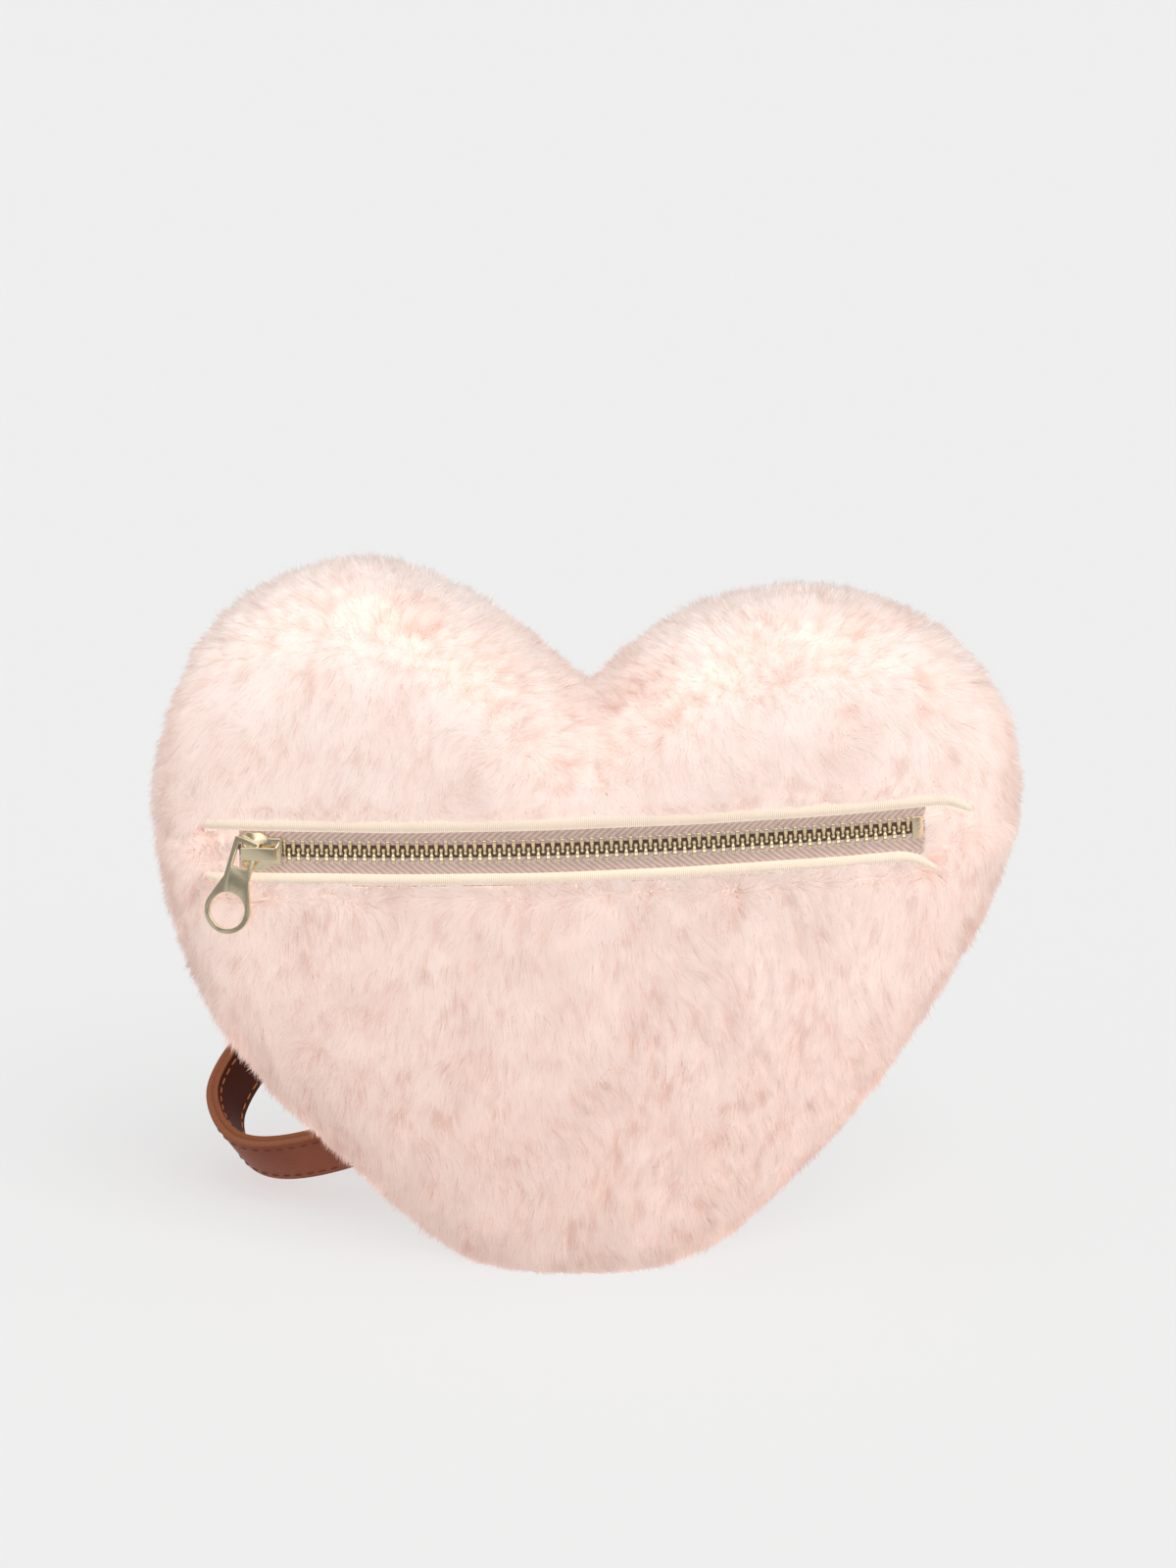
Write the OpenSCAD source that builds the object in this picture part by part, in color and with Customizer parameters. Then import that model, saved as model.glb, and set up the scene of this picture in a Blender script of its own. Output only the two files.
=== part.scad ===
// A heart shaped plush purse with a metal zip across its front and a leather wrist
// strap behind. It stands on its tip, leaning back. +X is to the right, -Y is the
// front and +Z is up. The origin is on the flat under the tip.

/* [Heart] */
// Width of the fur body, over the middle of the pile
heart_w = 220; // [200:1:240]
// Height of the fur body before the tip is flattened
heart_h = 186; // [170:1:200]
// How far the fur stands in front of the side seam
front_depth = 42; // [36:1:50]
// How far the fur stands behind the side seam
back_depth = 38; // [32:1:46]
// Angle that the purse leans back by
lean = 7; // [0:1:12]
// Depth of the flat that the tip rests on
tip_flat = 5; // [3:0.5:8]
// Distance from the origin back to the side seam
seam_back = 4; // [2:0.5:8]

/* [Fabric layers] */
// Thickness of the fur fabric, backing and pile together
fur_t = 7; // [5:0.5:9]
// Thickness of the wadding
wadding_t = 5; // [3:0.5:8]
// Thickness of the pocket lining
lining_t = 1.2; // [0.8:0.1:2]
// Gap between layers that lie on each other
layer_gap = 0.3; // [0.2:0.05:0.5]

/* [Zip] */
// Length of the chain, its stops included
chain_l = 182; // [150:1:184]
// Distance from one tooth to the next on the same tape
tooth_pitch = 2.54; // [2.4:0.01:2.8]
// Length of a tooth along the chain
tooth_w = 1.16; // [0.9:0.02:1.18]
// Height of a tooth, from its foot on the tape to its head
tooth_h = 3.9; // [3.6:0.1:4.4]
// How far a head reaches past the middle of the chain
tooth_reach = 0.9; // [0.6:0.1:1.2]
// Thickness of the teeth, front to back
tooth_t = 2.6; // [2.2:0.1:3]
// Height of each tape
tape_h = 13; // [11:0.5:15]
// Thickness of each tape
tape_t = 0.7; // [0.5:0.1:1]
// Distance from the middle of the chain to each tape
tape_edge = 1.7; // [1.5:0.1:2]
// Tape beyond each end of the chain
tape_tail = 4.5; // [3:0.5:6]
// Depth of the tapes below the fur's surface
tape_depth = 4.4; // [4:0.1:6]
// Height of the zip above the heart's tip
zip_z = 120.5; // [112:0.5:126]
// Distance from the heart's middle to the zip's middle
zip_x = -1.5; // [-4:0.5:4]
// Angle that the zip rises by, towards the right
zip_rise = 2; // [0:0.5:4]
// Height of the band of tape that shows between the piping strips
tape_shown = 11.2; // [10.6:0.1:12.5]

/* [Piping] */
// Thickness of the upper piping strip
piping_upper_d = 3.8; // [3:0.1:4.2]
// Thickness of the lower piping strip
piping_lower_d = 3; // [2.4:0.1:4]
// How far the piping strips run on past each end of the chain
piping_past = 2; // [1:0.5:4]
// Length of the curved end of a piping strip
piping_end_l = 11; // [8:0.5:12]
// How far the end of a piping strip bends towards the zip's line
piping_end_drop = 5; // [2:0.5:6]

/* [Slider] */
// Length of the slider
slider_l = 11; // [10:0.1:12]
// Width of the slider's shoulders
slider_w = 10.2; // [9.6:0.1:10.4]
// Width of the slider's tail
slider_tail_w = 7.4; // [7.2:0.1:8]
// Thickness of the slider's plates
plate_t = 1.1; // [0.9:0.05:1.3]
// Gap between the teeth and the slider's plates
plate_gap = 0.2; // [0.15:0.05:0.3]
// Width of the slider's side flanges
flange_w = 0.6; // [0.5:0.05:0.65]
// Width of the slot for the tape between the flanges
tape_slot = 1.3; // [1.2:0.1:1.6]
// Width of the wedge that parts the teeth
wedge_w = 1.5; // [1:0.1:1.6]
// Length of the slider's bridge
bridge_l = 9.3; // [8.5:0.1:9.8]
// Width of the slider's bridge
bridge_w = 3.4; // [2.8:0.1:4]
// Thickness of the slider's bridge
bridge_t = 0.9; // [0.7:0.05:1.2]
// Room for the puller under the bridge
bridge_gap = 2.4; // [2.3:0.1:2.8]

/* [Puller] */
// Distance from the puller's pivot to the middle of its ring
puller_l = 16; // [14:0.5:18]
// Outer diameter of the puller's ring
puller_ring_d = 12.5; // [11.5:0.1:13.5]
// Diameter of the hole in the puller's ring
puller_hole_d = 9.6; // [8:0.1:9.8]
// Outer width of the puller's head
puller_head_w = 7; // [6.4:0.1:7.4]
// Width of the window in the puller's head
puller_window_w = 4.4; // [4.2:0.1:4.6]
// Length of the window in the puller's head
puller_window_l = 6.6; // [6:0.1:7.4]
// Thickness of the puller
puller_t = 1.3; // [1.1:0.1:1.4]
// Angle that the puller hangs to the left of the zip's square
puller_swing = 17; // [10:1:25]
// Angle that the puller stands away from the tapes
puller_lift = 7; // [5:0.5:9]

/* [Strap] */
// How far the strap's loop reaches to the left of its ring
strap_reach = 100; // [90:1:104]
// Width of the strap
strap_w = 17; // [14:0.5:19]
// Thickness of each of the strap's two layers of leather
strap_layer_t = 1.7; // [1.4:0.1:2]
// Gap between the strap's two layers
strap_glue = 0.06; // [0.05:0.01:0.1]
// Diameter of the strap's rivet shank
rivet_d = 3; // [2.5:0.1:3.5]
// Diameter of the rivet's caps
rivet_cap_d = 8; // [6:0.5:9]
// Thickness of the rivet's caps
rivet_cap_t = 1; // [0.8:0.1:1.4]
// Distance from the ring's bar to the rivet
rivet_l = 10; // [9:0.5:12]

/* [Ring and tab] */
// Thickness of the ring's wire
ring_wire_d = 3; // [2.6:0.1:3.4]
// Inside width of the ring
ring_in_w = 19; // [18:0.5:22]
// Inside height of the ring
ring_in_h = 11; // [10:0.5:13]
// Width of the tab
tab_w = 17; // [14:0.5:17.5]
// Length of the tab that is sewn down
tab_l = 20; // [16:1:26]
// Thickness of the tab's leather, which lies double where it is sewn down
tab_t = 2.2; // [1.8:0.1:2.6]
// Height of the ring's pivot above the heart's tip
tab_z = 104; // [98:1:112]
// Distance of the ring's pivot from the heart's middle
tab_x = 14; // [8:1:20]
// Angle that the tab is turned by, towards the strap's run
tab_turn = 50; // [40:1:60]

/* [Hidden] */
$fn = 48;

// Running clearance of the ring in its tab
pivot_gap = 0.08;
// One overrun for every cut
over = 1;
// Half of a whole
half = 1 / 2;

// Heart outline, clockwise from the notch, as shares of the width and the height
heart_shares = [
    [0.004, 0.816], [0.062, 0.876], [0.159, 0.940], [0.283, 0.959], [0.407, 0.905],
    [0.487, 0.789], [0.491, 0.627], [0.412, 0.428], [0.283, 0.212], [0.150, 0.063],
    [0.027, 0.000], [-0.106, 0.015], [-0.257, 0.152], [-0.407, 0.330], [-0.482, 0.519],
    [-0.500, 0.724], [-0.429, 0.919], [-0.274, 1.000], [-0.133, 0.938], [-0.049, 0.859]];
// Steps of the outline between two of its points
outline_steps = 3;
// Rings of the puffed surface from its middle to its edge
puff_rings = 6;
// Power of the puffed surface's rounding
puff_power = 3;
// Share of the heart's half width that the zip lies across
zip_level_share = 0.985;

// Middle of the puffed surfaces
heart_mid = [zip_x, zip_z];
point_count = len(heart_shares);
spokes = point_count * outline_steps;

// A point of the curve through four points, at t from 0 to 1
function curve_at(a, b, c, d, t) =
    (2 * b + (c - a) * t + (2 * a - 5 * b + 4 * c - d) * t * t
        + (3 * b - a - 3 * c + d) * t * t * t) * half;

function share_point(i) = let (s = heart_shares[(i + point_count) % point_count])
    [s[0] * heart_w, s[1] * heart_h];

heart_outline = [for (i = [0:point_count - 1]) for (j = [0:outline_steps - 1])
    curve_at(share_point(i - 1), share_point(i), share_point(i + 1), share_point(i + 2),
        j / outline_steps)];

// Outward direction of the outline at a spoke
function outline_normal(k) = let (
    a = heart_outline[(k + spokes - 1) % spokes],
    b = heart_outline[(k + 1) % spokes],
    d = b - a) [-d[1], d[0]] / norm(d);

// Outline drawn in by an inset
function inset_outline(inset) =
    [for (k = [0:spokes - 1]) heart_outline[k] - inset * outline_normal(k)];

// Height of the puffed surface at a share of the way out
function puff(share) = pow(1 - share * share, 1 / puff_power);

// A closed dome from the seam plane out to a puffed surface, towards side
module dome(inset, depth, side) {
    rim = inset_outline(inset);
    shares = [for (j = [1:puff_rings]) sin(90 * j / puff_rings)];
    grid = [for (s = shares) for (p = rim) let (q = heart_mid + (p - heart_mid) * s)
        [q[0], side * (depth - inset) * puff(s), q[1]]];
    points = concat([[heart_mid[0], side * (depth - inset), heart_mid[1]]], grid,
        [[heart_mid[0], 0, heart_mid[1]]]);
    last = len(points) - 1;
    top = [for (k = [0:spokes - 1]) [0, 1 + k, 1 + (k + 1) % spokes]];
    walls = [for (j = [0:puff_rings - 2]) for (k = [0:spokes - 1])
        let (a = 1 + j * spokes + k, b = 1 + j * spokes + (k + 1) % spokes)
        each [[a, a + spokes, b], [b, a + spokes, b + spokes]]];
    base = [for (k = [0:spokes - 1]) let (r = 1 + (puff_rings - 1) * spokes)
        [last, r + (k + 1) % spokes, r + k]];
    faces = concat(top, walls, base);
    polyhedron(points, side > 0 ? [for (f = faces) [f[2], f[1], f[0]]] : faces);
}

// A shell between two insets on one side of the seam plane
module shell(from, to, depth, side) {
    translate([0, side * layer_gap * half, 0]) difference() {
        dome(from, depth, side);
        translate([0, -side * over * half, 0]) dome(to, depth + over * half, side);
    }
}

// Stance of the heart on the floor
module stance() {
    translate([0, seam_back, -tip_flat]) rotate([-lean, 0, 0]) children();
}

// Everything under the floor
module floor_cut() {
    translate([-heart_w, -heart_w, -heart_w]) cube([2 * heart_w, 2 * heart_w, heart_w]);
}

// Layer insets, from the fur inwards
wadding_in = fur_t + layer_gap;
lining_in = wadding_in + wadding_t + layer_gap;
pocket_in = lining_in + lining_t;

// The zip lies on an arc, so that it follows the puffed front
zip_half = chain_l * half + tape_tail;
zip_end_share = zip_half / (heart_w * half * zip_level_share);
zip_drop = front_depth * (1 - puff(zip_end_share));
zip_r = (zip_half * zip_half + zip_drop * zip_drop) / (2 * zip_drop);

// Angle of a length along the zip's arc
function arc_deg(l) = l / zip_r * 180 / PI;

// Frame of the zip: its middle on the tapes, x along it and -y outwards
module zip_frame() {
    stance() translate([zip_x, tape_depth - front_depth, zip_z]) rotate([0, -zip_rise, 0])
        children();
}

// A place at a length along the zip's arc
module along_zip(l) {
    translate([0, zip_r, 0]) rotate([0, 0, arc_deg(l)]) translate([0, -zip_r, 0]) children();
}

// A band along the zip's arc, between two lengths, from a section drawn in [outwards, up]
module zip_band(from, to) {
    translate([0, zip_r, 0]) rotate([0, 0, arc_deg(from) - 90])
        rotate_extrude(angle = arc_deg(to - from), $fn = 180) translate([zip_r, 0]) children();
}

// Slot through the layers behind the zip, open to the front
module zip_slot(length, height) {
    translate([-length * half, -front_depth, -height * half])
        cube([length, 2 * front_depth, height]);
}

piping_l = chain_l + 2 * piping_past;
piping_upper_z = (tape_shown + piping_upper_d) * half;
piping_lower_z = (tape_shown + piping_lower_d) * half;
fur_slot_up = piping_upper_z + piping_upper_d * half + layer_gap;
fur_slot_low = piping_lower_z + piping_lower_d * half + layer_gap;
fur_slot_l = piping_l + 2 * piping_end_l + 2 * layer_gap;
tape_reach = tape_edge + tape_h;
zip_slot_h = 2 * (tape_reach + layer_gap);
zip_slot_l = 2 * (zip_half + layer_gap);
lining_slot_h = tape_shown;

// Slider heights in front of the tapes' middle
plate_in = tooth_t * half + plate_gap;
plate_out = plate_in + plate_t;
bridge_in = plate_out + bridge_gap;
slider_front = bridge_in + bridge_t;

// The room that the slider and the puller sweep in front of the fur
puller_reach = puller_l + puller_ring_d;
sweep_low = plate_out - plate_gap;
sweep_out = sweep_low + puller_reach * sin(puller_lift);
sweep_far = slider_front + 2 * tape_depth;
module zip_sweep(section) {
    corners = len(section);
    reach = zip_half + slider_l;
    points = [for (i = [-sweep_steps:sweep_steps]) let (a = arc_deg(reach * i / sweep_steps))
        each [for (c = section) [(zip_r + c[0]) * sin(a), zip_r - (zip_r + c[0]) * cos(a), c[1]]]];
    walls = [for (i = [0:2 * sweep_steps - 1]) for (k = [0:corners - 1]) let (
        a = i * corners + k, b = i * corners + (k + 1) % corners)
        each [[a, b, a + corners], [b, b + corners, a + corners]]];
    first = [for (k = [corners - 1:-1:0]) k];
    final = [for (k = [0:corners - 1]) 2 * sweep_steps * corners + k];
    polyhedron(points, concat([first], walls, [final]));
}
sweep_steps = 10;

// What is cut from the fur panels: the valley in front, and the tapes' seat behind
module zip_cuts() {
    seat = tape_t * half + layer_gap;
    seat_h = tape_reach + layer_gap;
    zip_sweep([[sweep_far, tape_reach], [slider_front, tape_reach], [sweep_low, fur_slot_up],
        [sweep_low, -fur_slot_low], [sweep_out, -puller_reach], [sweep_far, -puller_reach]]);
    zip_sweep([[seat, seat_h], [-front_depth, seat_h], [-front_depth, -seat_h], [seat, -seat_h]]);
}

module front_upper_panel() {
    color("#F6E8E0") difference() {
        stance() shell(0, fur_t, front_depth, -1);
        zip_frame() union() {
            translate([-heart_w, -heart_w, -heart_h]) cube([2 * heart_w, 2 * heart_w, heart_h]);
            translate([-fur_slot_l * half, -front_depth, -over])
                cube([fur_slot_l, 2 * front_depth, fur_slot_up + over]);
            zip_cuts();
        }
    }
}

module front_lower_panel() {
    color("#F2DAD0") difference() {
        stance() shell(0, fur_t, front_depth, -1);
        zip_frame() union() {
            translate([-heart_w, -heart_w, -layer_gap])
                cube([2 * heart_w, 2 * heart_w, heart_h]);
            translate([-fur_slot_l * half, -front_depth, -fur_slot_low])
                cube([fur_slot_l, 2 * front_depth, fur_slot_low + over]);
            zip_cuts();
        }
        floor_cut();
    }
}

module back_panel() {
    color("#F0DCD2") difference() {
        stance() shell(0, fur_t, back_depth, 1);
        floor_cut();
    }
}

module wadding_front() {
    color("#F4F1EA") difference() {
        stance() shell(wadding_in, wadding_in + wadding_t, front_depth, -1);
        zip_frame() zip_slot(zip_slot_l, zip_slot_h);
    }
}

module wadding_back() {
    color("#F4F1EA") stance() shell(wadding_in, wadding_in + wadding_t, back_depth, 1);
}

module lining_front() {
    color("#D8B9B0") difference() {
        stance() shell(lining_in, pocket_in, front_depth, -1);
        zip_frame() zip_slot(zip_slot_l, lining_slot_h);
    }
}

module lining_back() {
    color("#D8B9B0") stance() shell(lining_in, pocket_in, back_depth, 1);
}

module zip_tape(side) {
    color("#D3BFBA") zip_frame() zip_band(-zip_half, zip_half)
        translate([-tape_t * half, side > 0 ? tape_edge : -tape_reach])
            square([tape_t, tape_h]);
}

module zip_tape_upper() {
    zip_tape(1);
}

module zip_tape_lower() {
    zip_tape(-1);
}

// One tooth pointing down: two legs clamp the tape, and the head is narrowed to a nib
tooth_leg_t = (tooth_t - tape_t) * half;
head_share = 0.72;
module tooth() {
    foot = tooth_h - tooth_reach;
    difference() {
        union() {
            translate([-tooth_w * half, -tooth_t * half, 0]) cube([tooth_w, tooth_t, foot]);
            translate([-tooth_w * half, 0, 0]) rotate([0, 90, 0])
                linear_extrude(tooth_w) polygon([
                    [0, -tooth_t * half], [tooth_reach, -tooth_t * half * head_share],
                    [tooth_reach, tooth_t * half * head_share], [0, tooth_t * half]]);
        }
        translate([-tooth_w, -tape_t * half, tape_edge])
            cube([2 * tooth_w, tape_t, foot]);
    }
}

// Stops
stop_l = 3.2;
stop_h = tooth_h - tooth_reach;
stop_gap = 0.4;
// How far the top stops show past the slider's nose
stop_shown = 0.6;
stop_in = wedge_w * half + plate_gap;

teeth_room = chain_l - 2 * (stop_l + stop_gap) - tooth_w;
teeth_count = floor(teeth_room / tooth_pitch) + 1;
teeth_start = -(teeth_count - 1) * tooth_pitch * half;

module teeth(side) {
    shift = side > 0 ? 0 : tooth_pitch * half;
    color("#CFC59A") zip_frame() for (i = [0:teeth_count - 1 - (side > 0 ? 0 : 1)])
        along_zip(teeth_start + shift + i * tooth_pitch)
            scale([1, 1, side]) tooth();
}

module zip_teeth_upper() {
    teeth(1);
}

module zip_teeth_lower() {
    teeth(-1);
}

chain_end = teeth_start - tooth_w * half;
stop_at = chain_end - stop_gap - stop_l * half;

module stop_staple() {
    difference() {
        translate([-stop_l * half, -tooth_t * half, stop_in])
            cube([stop_l, tooth_t, stop_h - stop_in]);
        translate([-stop_l, -tape_t * half, tape_edge]) cube([2 * stop_l, tape_t, stop_h]);
    }
}

module zip_top_stops() {
    color("#CFC59A") zip_frame() along_zip(stop_at) {
        stop_staple();
        mirror([0, 0, 1]) stop_staple();
    }
}

module zip_bottom_stop() {
    color("#CFC59A") zip_frame() along_zip(-stop_at) difference() {
        translate([-stop_l * half, -tooth_t * half, -stop_h])
            cube([stop_l, tooth_t, 2 * stop_h]);
        for (side = [0, 1]) mirror([0, 0, side])
            translate([-stop_l, -tape_t * half, tape_edge]) cube([2 * stop_l, tape_t, stop_h]);
    }
}

// Slider
slider_at = stop_at - stop_l * half + stop_shown + slider_l * half;
nose_share = 0.62;
shoulder_share = 0.36;
waist_share = 0.18;
module slider_outline(inset) {
    x0 = -slider_l * half;
    x1 = -slider_l * shoulder_share;
    x2 = 0;
    x3 = slider_l * waist_share;
    x4 = slider_l * half;
    a = slider_w * half * nose_share - inset;
    b = slider_w * half - inset;
    c = slider_tail_w * half - inset;
    polygon([[x0, -a], [x1, -b], [x2, -b], [x3, -c], [x4, -c], [x4, c], [x3, c], [x2, b],
        [x1, b], [x0, a]]);
}

// Extrude outwards, from one height in front of the tapes to another
module outwards(from, to) {
    translate([0, -from, 0]) rotate([90, 0, 0]) linear_extrude(to - from) children();
}

module zip_slider() {
    flange_h = plate_in - tape_slot * half;
    wedge_l = stop_l + stop_gap - stop_shown - plate_gap;
    color("#D9CDA0") zip_frame() along_zip(slider_at) {
        for (side = [0, 1]) mirror([0, side, 0]) {
            outwards(plate_in, plate_out) slider_outline(0);
            outwards(tape_slot * half, plate_in) difference() {
                slider_outline(0);
                slider_outline(flange_w);
                translate([-slider_l, -slider_w]) square([slider_l * half + plate_t, 2 * slider_w]);
                translate([slider_l * half - plate_t, -slider_tail_w * half + flange_w])
                    square([slider_l, slider_tail_w - 2 * flange_w]);
            }
        }
        outwards(-plate_in, plate_in) polygon([
            [-slider_l * half, -wedge_w * half * nose_share],
            [-slider_l * half, wedge_w * half * nose_share],
            [wedge_l - slider_l * half, wedge_w * shoulder_share * half],
            [wedge_l - slider_l * half, -wedge_w * shoulder_share * half]]);
        outwards(bridge_in, slider_front) translate([-bridge_l * half, -bridge_w * half])
            square([bridge_l, bridge_w]);
        for (end = [-1, 1])
            translate([end * (bridge_l - bridge_t) * half, 0, 0])
                outwards(plate_out, bridge_in) translate([-bridge_t * half, -bridge_w * half * head_share])
                    square([bridge_t, bridge_w * head_share]);
    }
}

// The puller hangs from the bridge's left post
pivot_x = -(bridge_l - bridge_t) * half;
pivot_out = plate_out + (bridge_gap - puller_t) * half;
module puller_frame() {
    zip_frame() along_zip(slider_at) translate([pivot_x, -pivot_out, 0])
        rotate([-puller_lift, 0, 0]) rotate([0, puller_swing, 0]) children();
}

window_up_share = 0.34;
module zip_puller() {
    head_z = puller_window_l * (window_up_share - half);
    head_l = puller_window_l + puller_head_w - puller_window_w;
    color("#DCD2A8") puller_frame() rotate([90, 0, 0]) linear_extrude(puller_t) difference() {
        union() {
            hull() {
                translate([0, head_z]) square([puller_head_w, head_l], center = true);
                translate([0, -puller_l * half]) circle(d = puller_head_w);
            }
            hull() {
                translate([0, -puller_l * half]) circle(d = puller_head_w);
                translate([0, -puller_l]) circle(d = puller_ring_d);
            }
        }
        translate([0, head_z]) square([puller_window_w, puller_window_l], center = true);
        translate([0, -puller_l]) circle(d = puller_hole_d);
    }
}

// A tube through points, from round sections
tube_sides = 8;
module tube(path, d) {
    n = len(path);
    points = [for (i = [0:n - 1]) let (
        t = path[min(i + 1, n - 1)] - path[max(i - 1, 0)],
        u = t / norm(t),
        side = cross(u, [0, 0, 1]),
        s = side / norm(side),
        v = cross(s, u))
        each [for (k = [0:tube_sides - 1]) path[i]
            + d * half * (s * cos(360 * k / tube_sides) + v * sin(360 * k / tube_sides))]];
    walls = [for (i = [0:n - 2]) for (k = [0:tube_sides - 1]) let (
        a = i * tube_sides + k, b = i * tube_sides + (k + 1) % tube_sides)
        each [[a, b, a + tube_sides], [b, b + tube_sides, a + tube_sides]]];
    first = [for (k = [tube_sides - 1:-1:0]) k];
    final = [for (k = [0:tube_sides - 1]) (n - 1) * tube_sides + k];
    polyhedron(points, concat([first], walls, [final]));
}

// Middle line of a piping strip: along the zip, with both ends bent to the zip's line
piping_steps = 26;
function piping_path(z, d) = [for (i = [-piping_steps:piping_steps]) let (
    whole = piping_l * half + piping_end_l,
    l = whole * i / piping_steps,
    past = max(0, abs(l) - piping_l * half) / piping_end_l,
    a = arc_deg(l),
    r = zip_r + tape_t * half + layer_gap + d * half)
    [r * sin(a), zip_r - r * cos(a), z * (1 - past * past * piping_end_drop / abs(z))]];

module piping_upper() {
    color("#F3E0C8") zip_frame() tube(piping_path(piping_upper_z, piping_upper_d), piping_upper_d);
}

module piping_lower() {
    color("#F3E0C8") zip_frame() tube(piping_path(-piping_lower_z, piping_lower_d), piping_lower_d);
}

// Tab on the back, with the ring's bar in its fold. In its frame the bar lies along x.
ring_r = ring_wire_d * half;
strap_t = 2 * strap_layer_t + strap_glue;
fold_r = ring_r + 2 * layer_gap + strap_t * half;
// The ring stands out far enough for the strap's fold to clear the fur
tab_drop = fold_r + strap_t * half;
tab_out = back_depth + 2 * layer_gap + tab_drop;
module tab_frame() {
    stance() translate([tab_x, tab_out, tab_z]) rotate([0, tab_turn, 0]) children();
}

module strap_tab() {
    bore_r = ring_r + pivot_gap;
    color("#7A3F2C") tab_frame() difference() {
        union() {
            rotate([0, 90, 0]) cylinder(r = bore_r + tab_t, h = tab_w, center = true);
            translate([-tab_w * half, -tab_drop, 0]) cube([tab_w, 2 * tab_t, tab_l]);
            hull() {
                translate([-tab_w * half, -tab_drop, 0])
                    cube([tab_w, tab_drop + bore_r + tab_t, ring_r]);
                translate([-tab_w * half, -tab_drop, tab_l * half])
                    cube([tab_w, 2 * tab_t, ring_r]);
            }
        }
        rotate([0, 90, 0]) cylinder(r = bore_r, h = tab_w + 2 * over, center = true);
    }
}

// Rectangular ring of round wire, hanging from its upper bar
ring_w = ring_in_w + ring_wire_d;
ring_h = ring_in_h + ring_wire_d;
module wire(a, b) {
    d = b - a;
    translate(a) rotate([0, acos(d[2] / norm(d)), atan2(d[1], d[0])])
        cylinder(r = ring_r, h = norm(d));
}

module strap_ring() {
    corners = [[-ring_w * half, 0, 0], [ring_w * half, 0, 0], [ring_w * half, 0, -ring_h],
        [-ring_w * half, 0, -ring_h]];
    color("#CDBF8E") tab_frame() for (i = [0:3]) {
        wire(corners[i], corners[(i + 1) % 4]);
        translate(corners[i]) sphere(r = ring_r);
    }
}

// Directions in the world: along the ring's lower bar, down the hanging ring, and out
function tilt(v) = [v[0], v[1] * cos(lean) + v[2] * sin(lean),
    v[2] * cos(lean) - v[1] * sin(lean)];
bar_dir = tilt([cos(tab_turn), 0, -sin(tab_turn)]);
hang_dir = tilt([-sin(tab_turn), 0, -cos(tab_turn)]);
out_dir = tilt([0, 1, 0]);
bar_at = [0, seam_back, -tip_flat] + tilt([tab_x, tab_out, tab_z]) + hang_dir * ring_h;

// The strap is one closed loop of two layers, folded over the ring's lower bar
branch_off = strap_t * half + layer_gap;
rivet_at = bar_at + hang_dir * rivet_l;

// Width direction of the strap at its bend, where it stands on its edge
bend_dir = [-0.42, -0.53, 0.74] / norm([-0.42, -0.53, 0.74]);
edge_z = strap_w * half * bend_dir[2] + strap_t * half * norm([bend_dir[0], bend_dir[1]]);

// Route of the strap from its front branch round the bend to its back branch, as shares
// of its reach to the left, its reach back, the bar's height and the turn of its width
strap_shares = [
    [-0.23, -0.05, 0.61, 0.35], [-0.37, -0.10, 0.38, 0.60], [-0.51, -0.13, 0.21, 0.85],
    [-0.68, -0.12, 0.085, 1.00], [-0.87, -0.07, 0.008, 1.00], [-0.97, 0.02, 0.014, 1.00],
    [-1.01, 0.14, 0.085, 1.00], [-0.995, 0.20, 0.15, 1.00], [-0.925, 0.27, 0.27, 1.00],
    [-0.73, 0.32, 0.48, 0.85], [-0.49, 0.26, 0.69, 0.60], [-0.27, 0.13, 0.81, 0.35]];

fold_angles = [0, 45, 90, 135, 180];
// How far the branches part by a rivet's distance past the rivet
branch_spread = branch_off + strap_layer_t * half;
spread_at = rivet_at + hang_dir * rivet_l;
strap_route = concat(
    [[spread_at - out_dir * branch_spread, 0], [rivet_at - out_dir * branch_off, 0],
        [bar_at + hang_dir * fold_r - out_dir * fold_r, 0]],
    [for (a = fold_angles) [bar_at - (out_dir * cos(a) + hang_dir * sin(a)) * fold_r, 0]],
    [[bar_at + hang_dir * fold_r + out_dir * fold_r, 0], [rivet_at + out_dir * branch_off, 0],
        [spread_at + out_dir * branch_spread, 0]],
    [for (i = [len(strap_shares) - 1:-1:0]) let (s = strap_shares[i])
        [[bar_at[0] + s[0] * strap_reach, bar_at[1] + s[1] * strap_reach,
            edge_z + s[2] * (bar_at[2] - edge_z)], s[3]]]);
route_count = len(strap_route);
strap_steps = 4;
strap_rings = route_count * strap_steps;

function route_part(i, part) = strap_route[(i + route_count) % route_count][part];
function route_curve(n, part) = let (i = floor(n / strap_steps), t = n / strap_steps - i)
    curve_at(route_part(i - 1, part), route_part(i, part), route_part(i + 1, part),
        route_part(i + 2, part), t);

strap_path = [for (n = [0:strap_rings - 1]) route_curve(n, 0)];
strap_turn = [for (n = [0:strap_rings - 1]) route_curve(n, 1)];

function strap_tangent(n) = let (d = strap_path[(n + 1) % strap_rings]
    - strap_path[(n + strap_rings - 1) % strap_rings]) d / norm(d);
function strap_across(n) = let (
    t = strap_tangent(n),
    w = bend_dir * strap_turn[n] - bar_dir * (1 - strap_turn[n]),
    v = w - t * (w * t)) v / norm(v);

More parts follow.
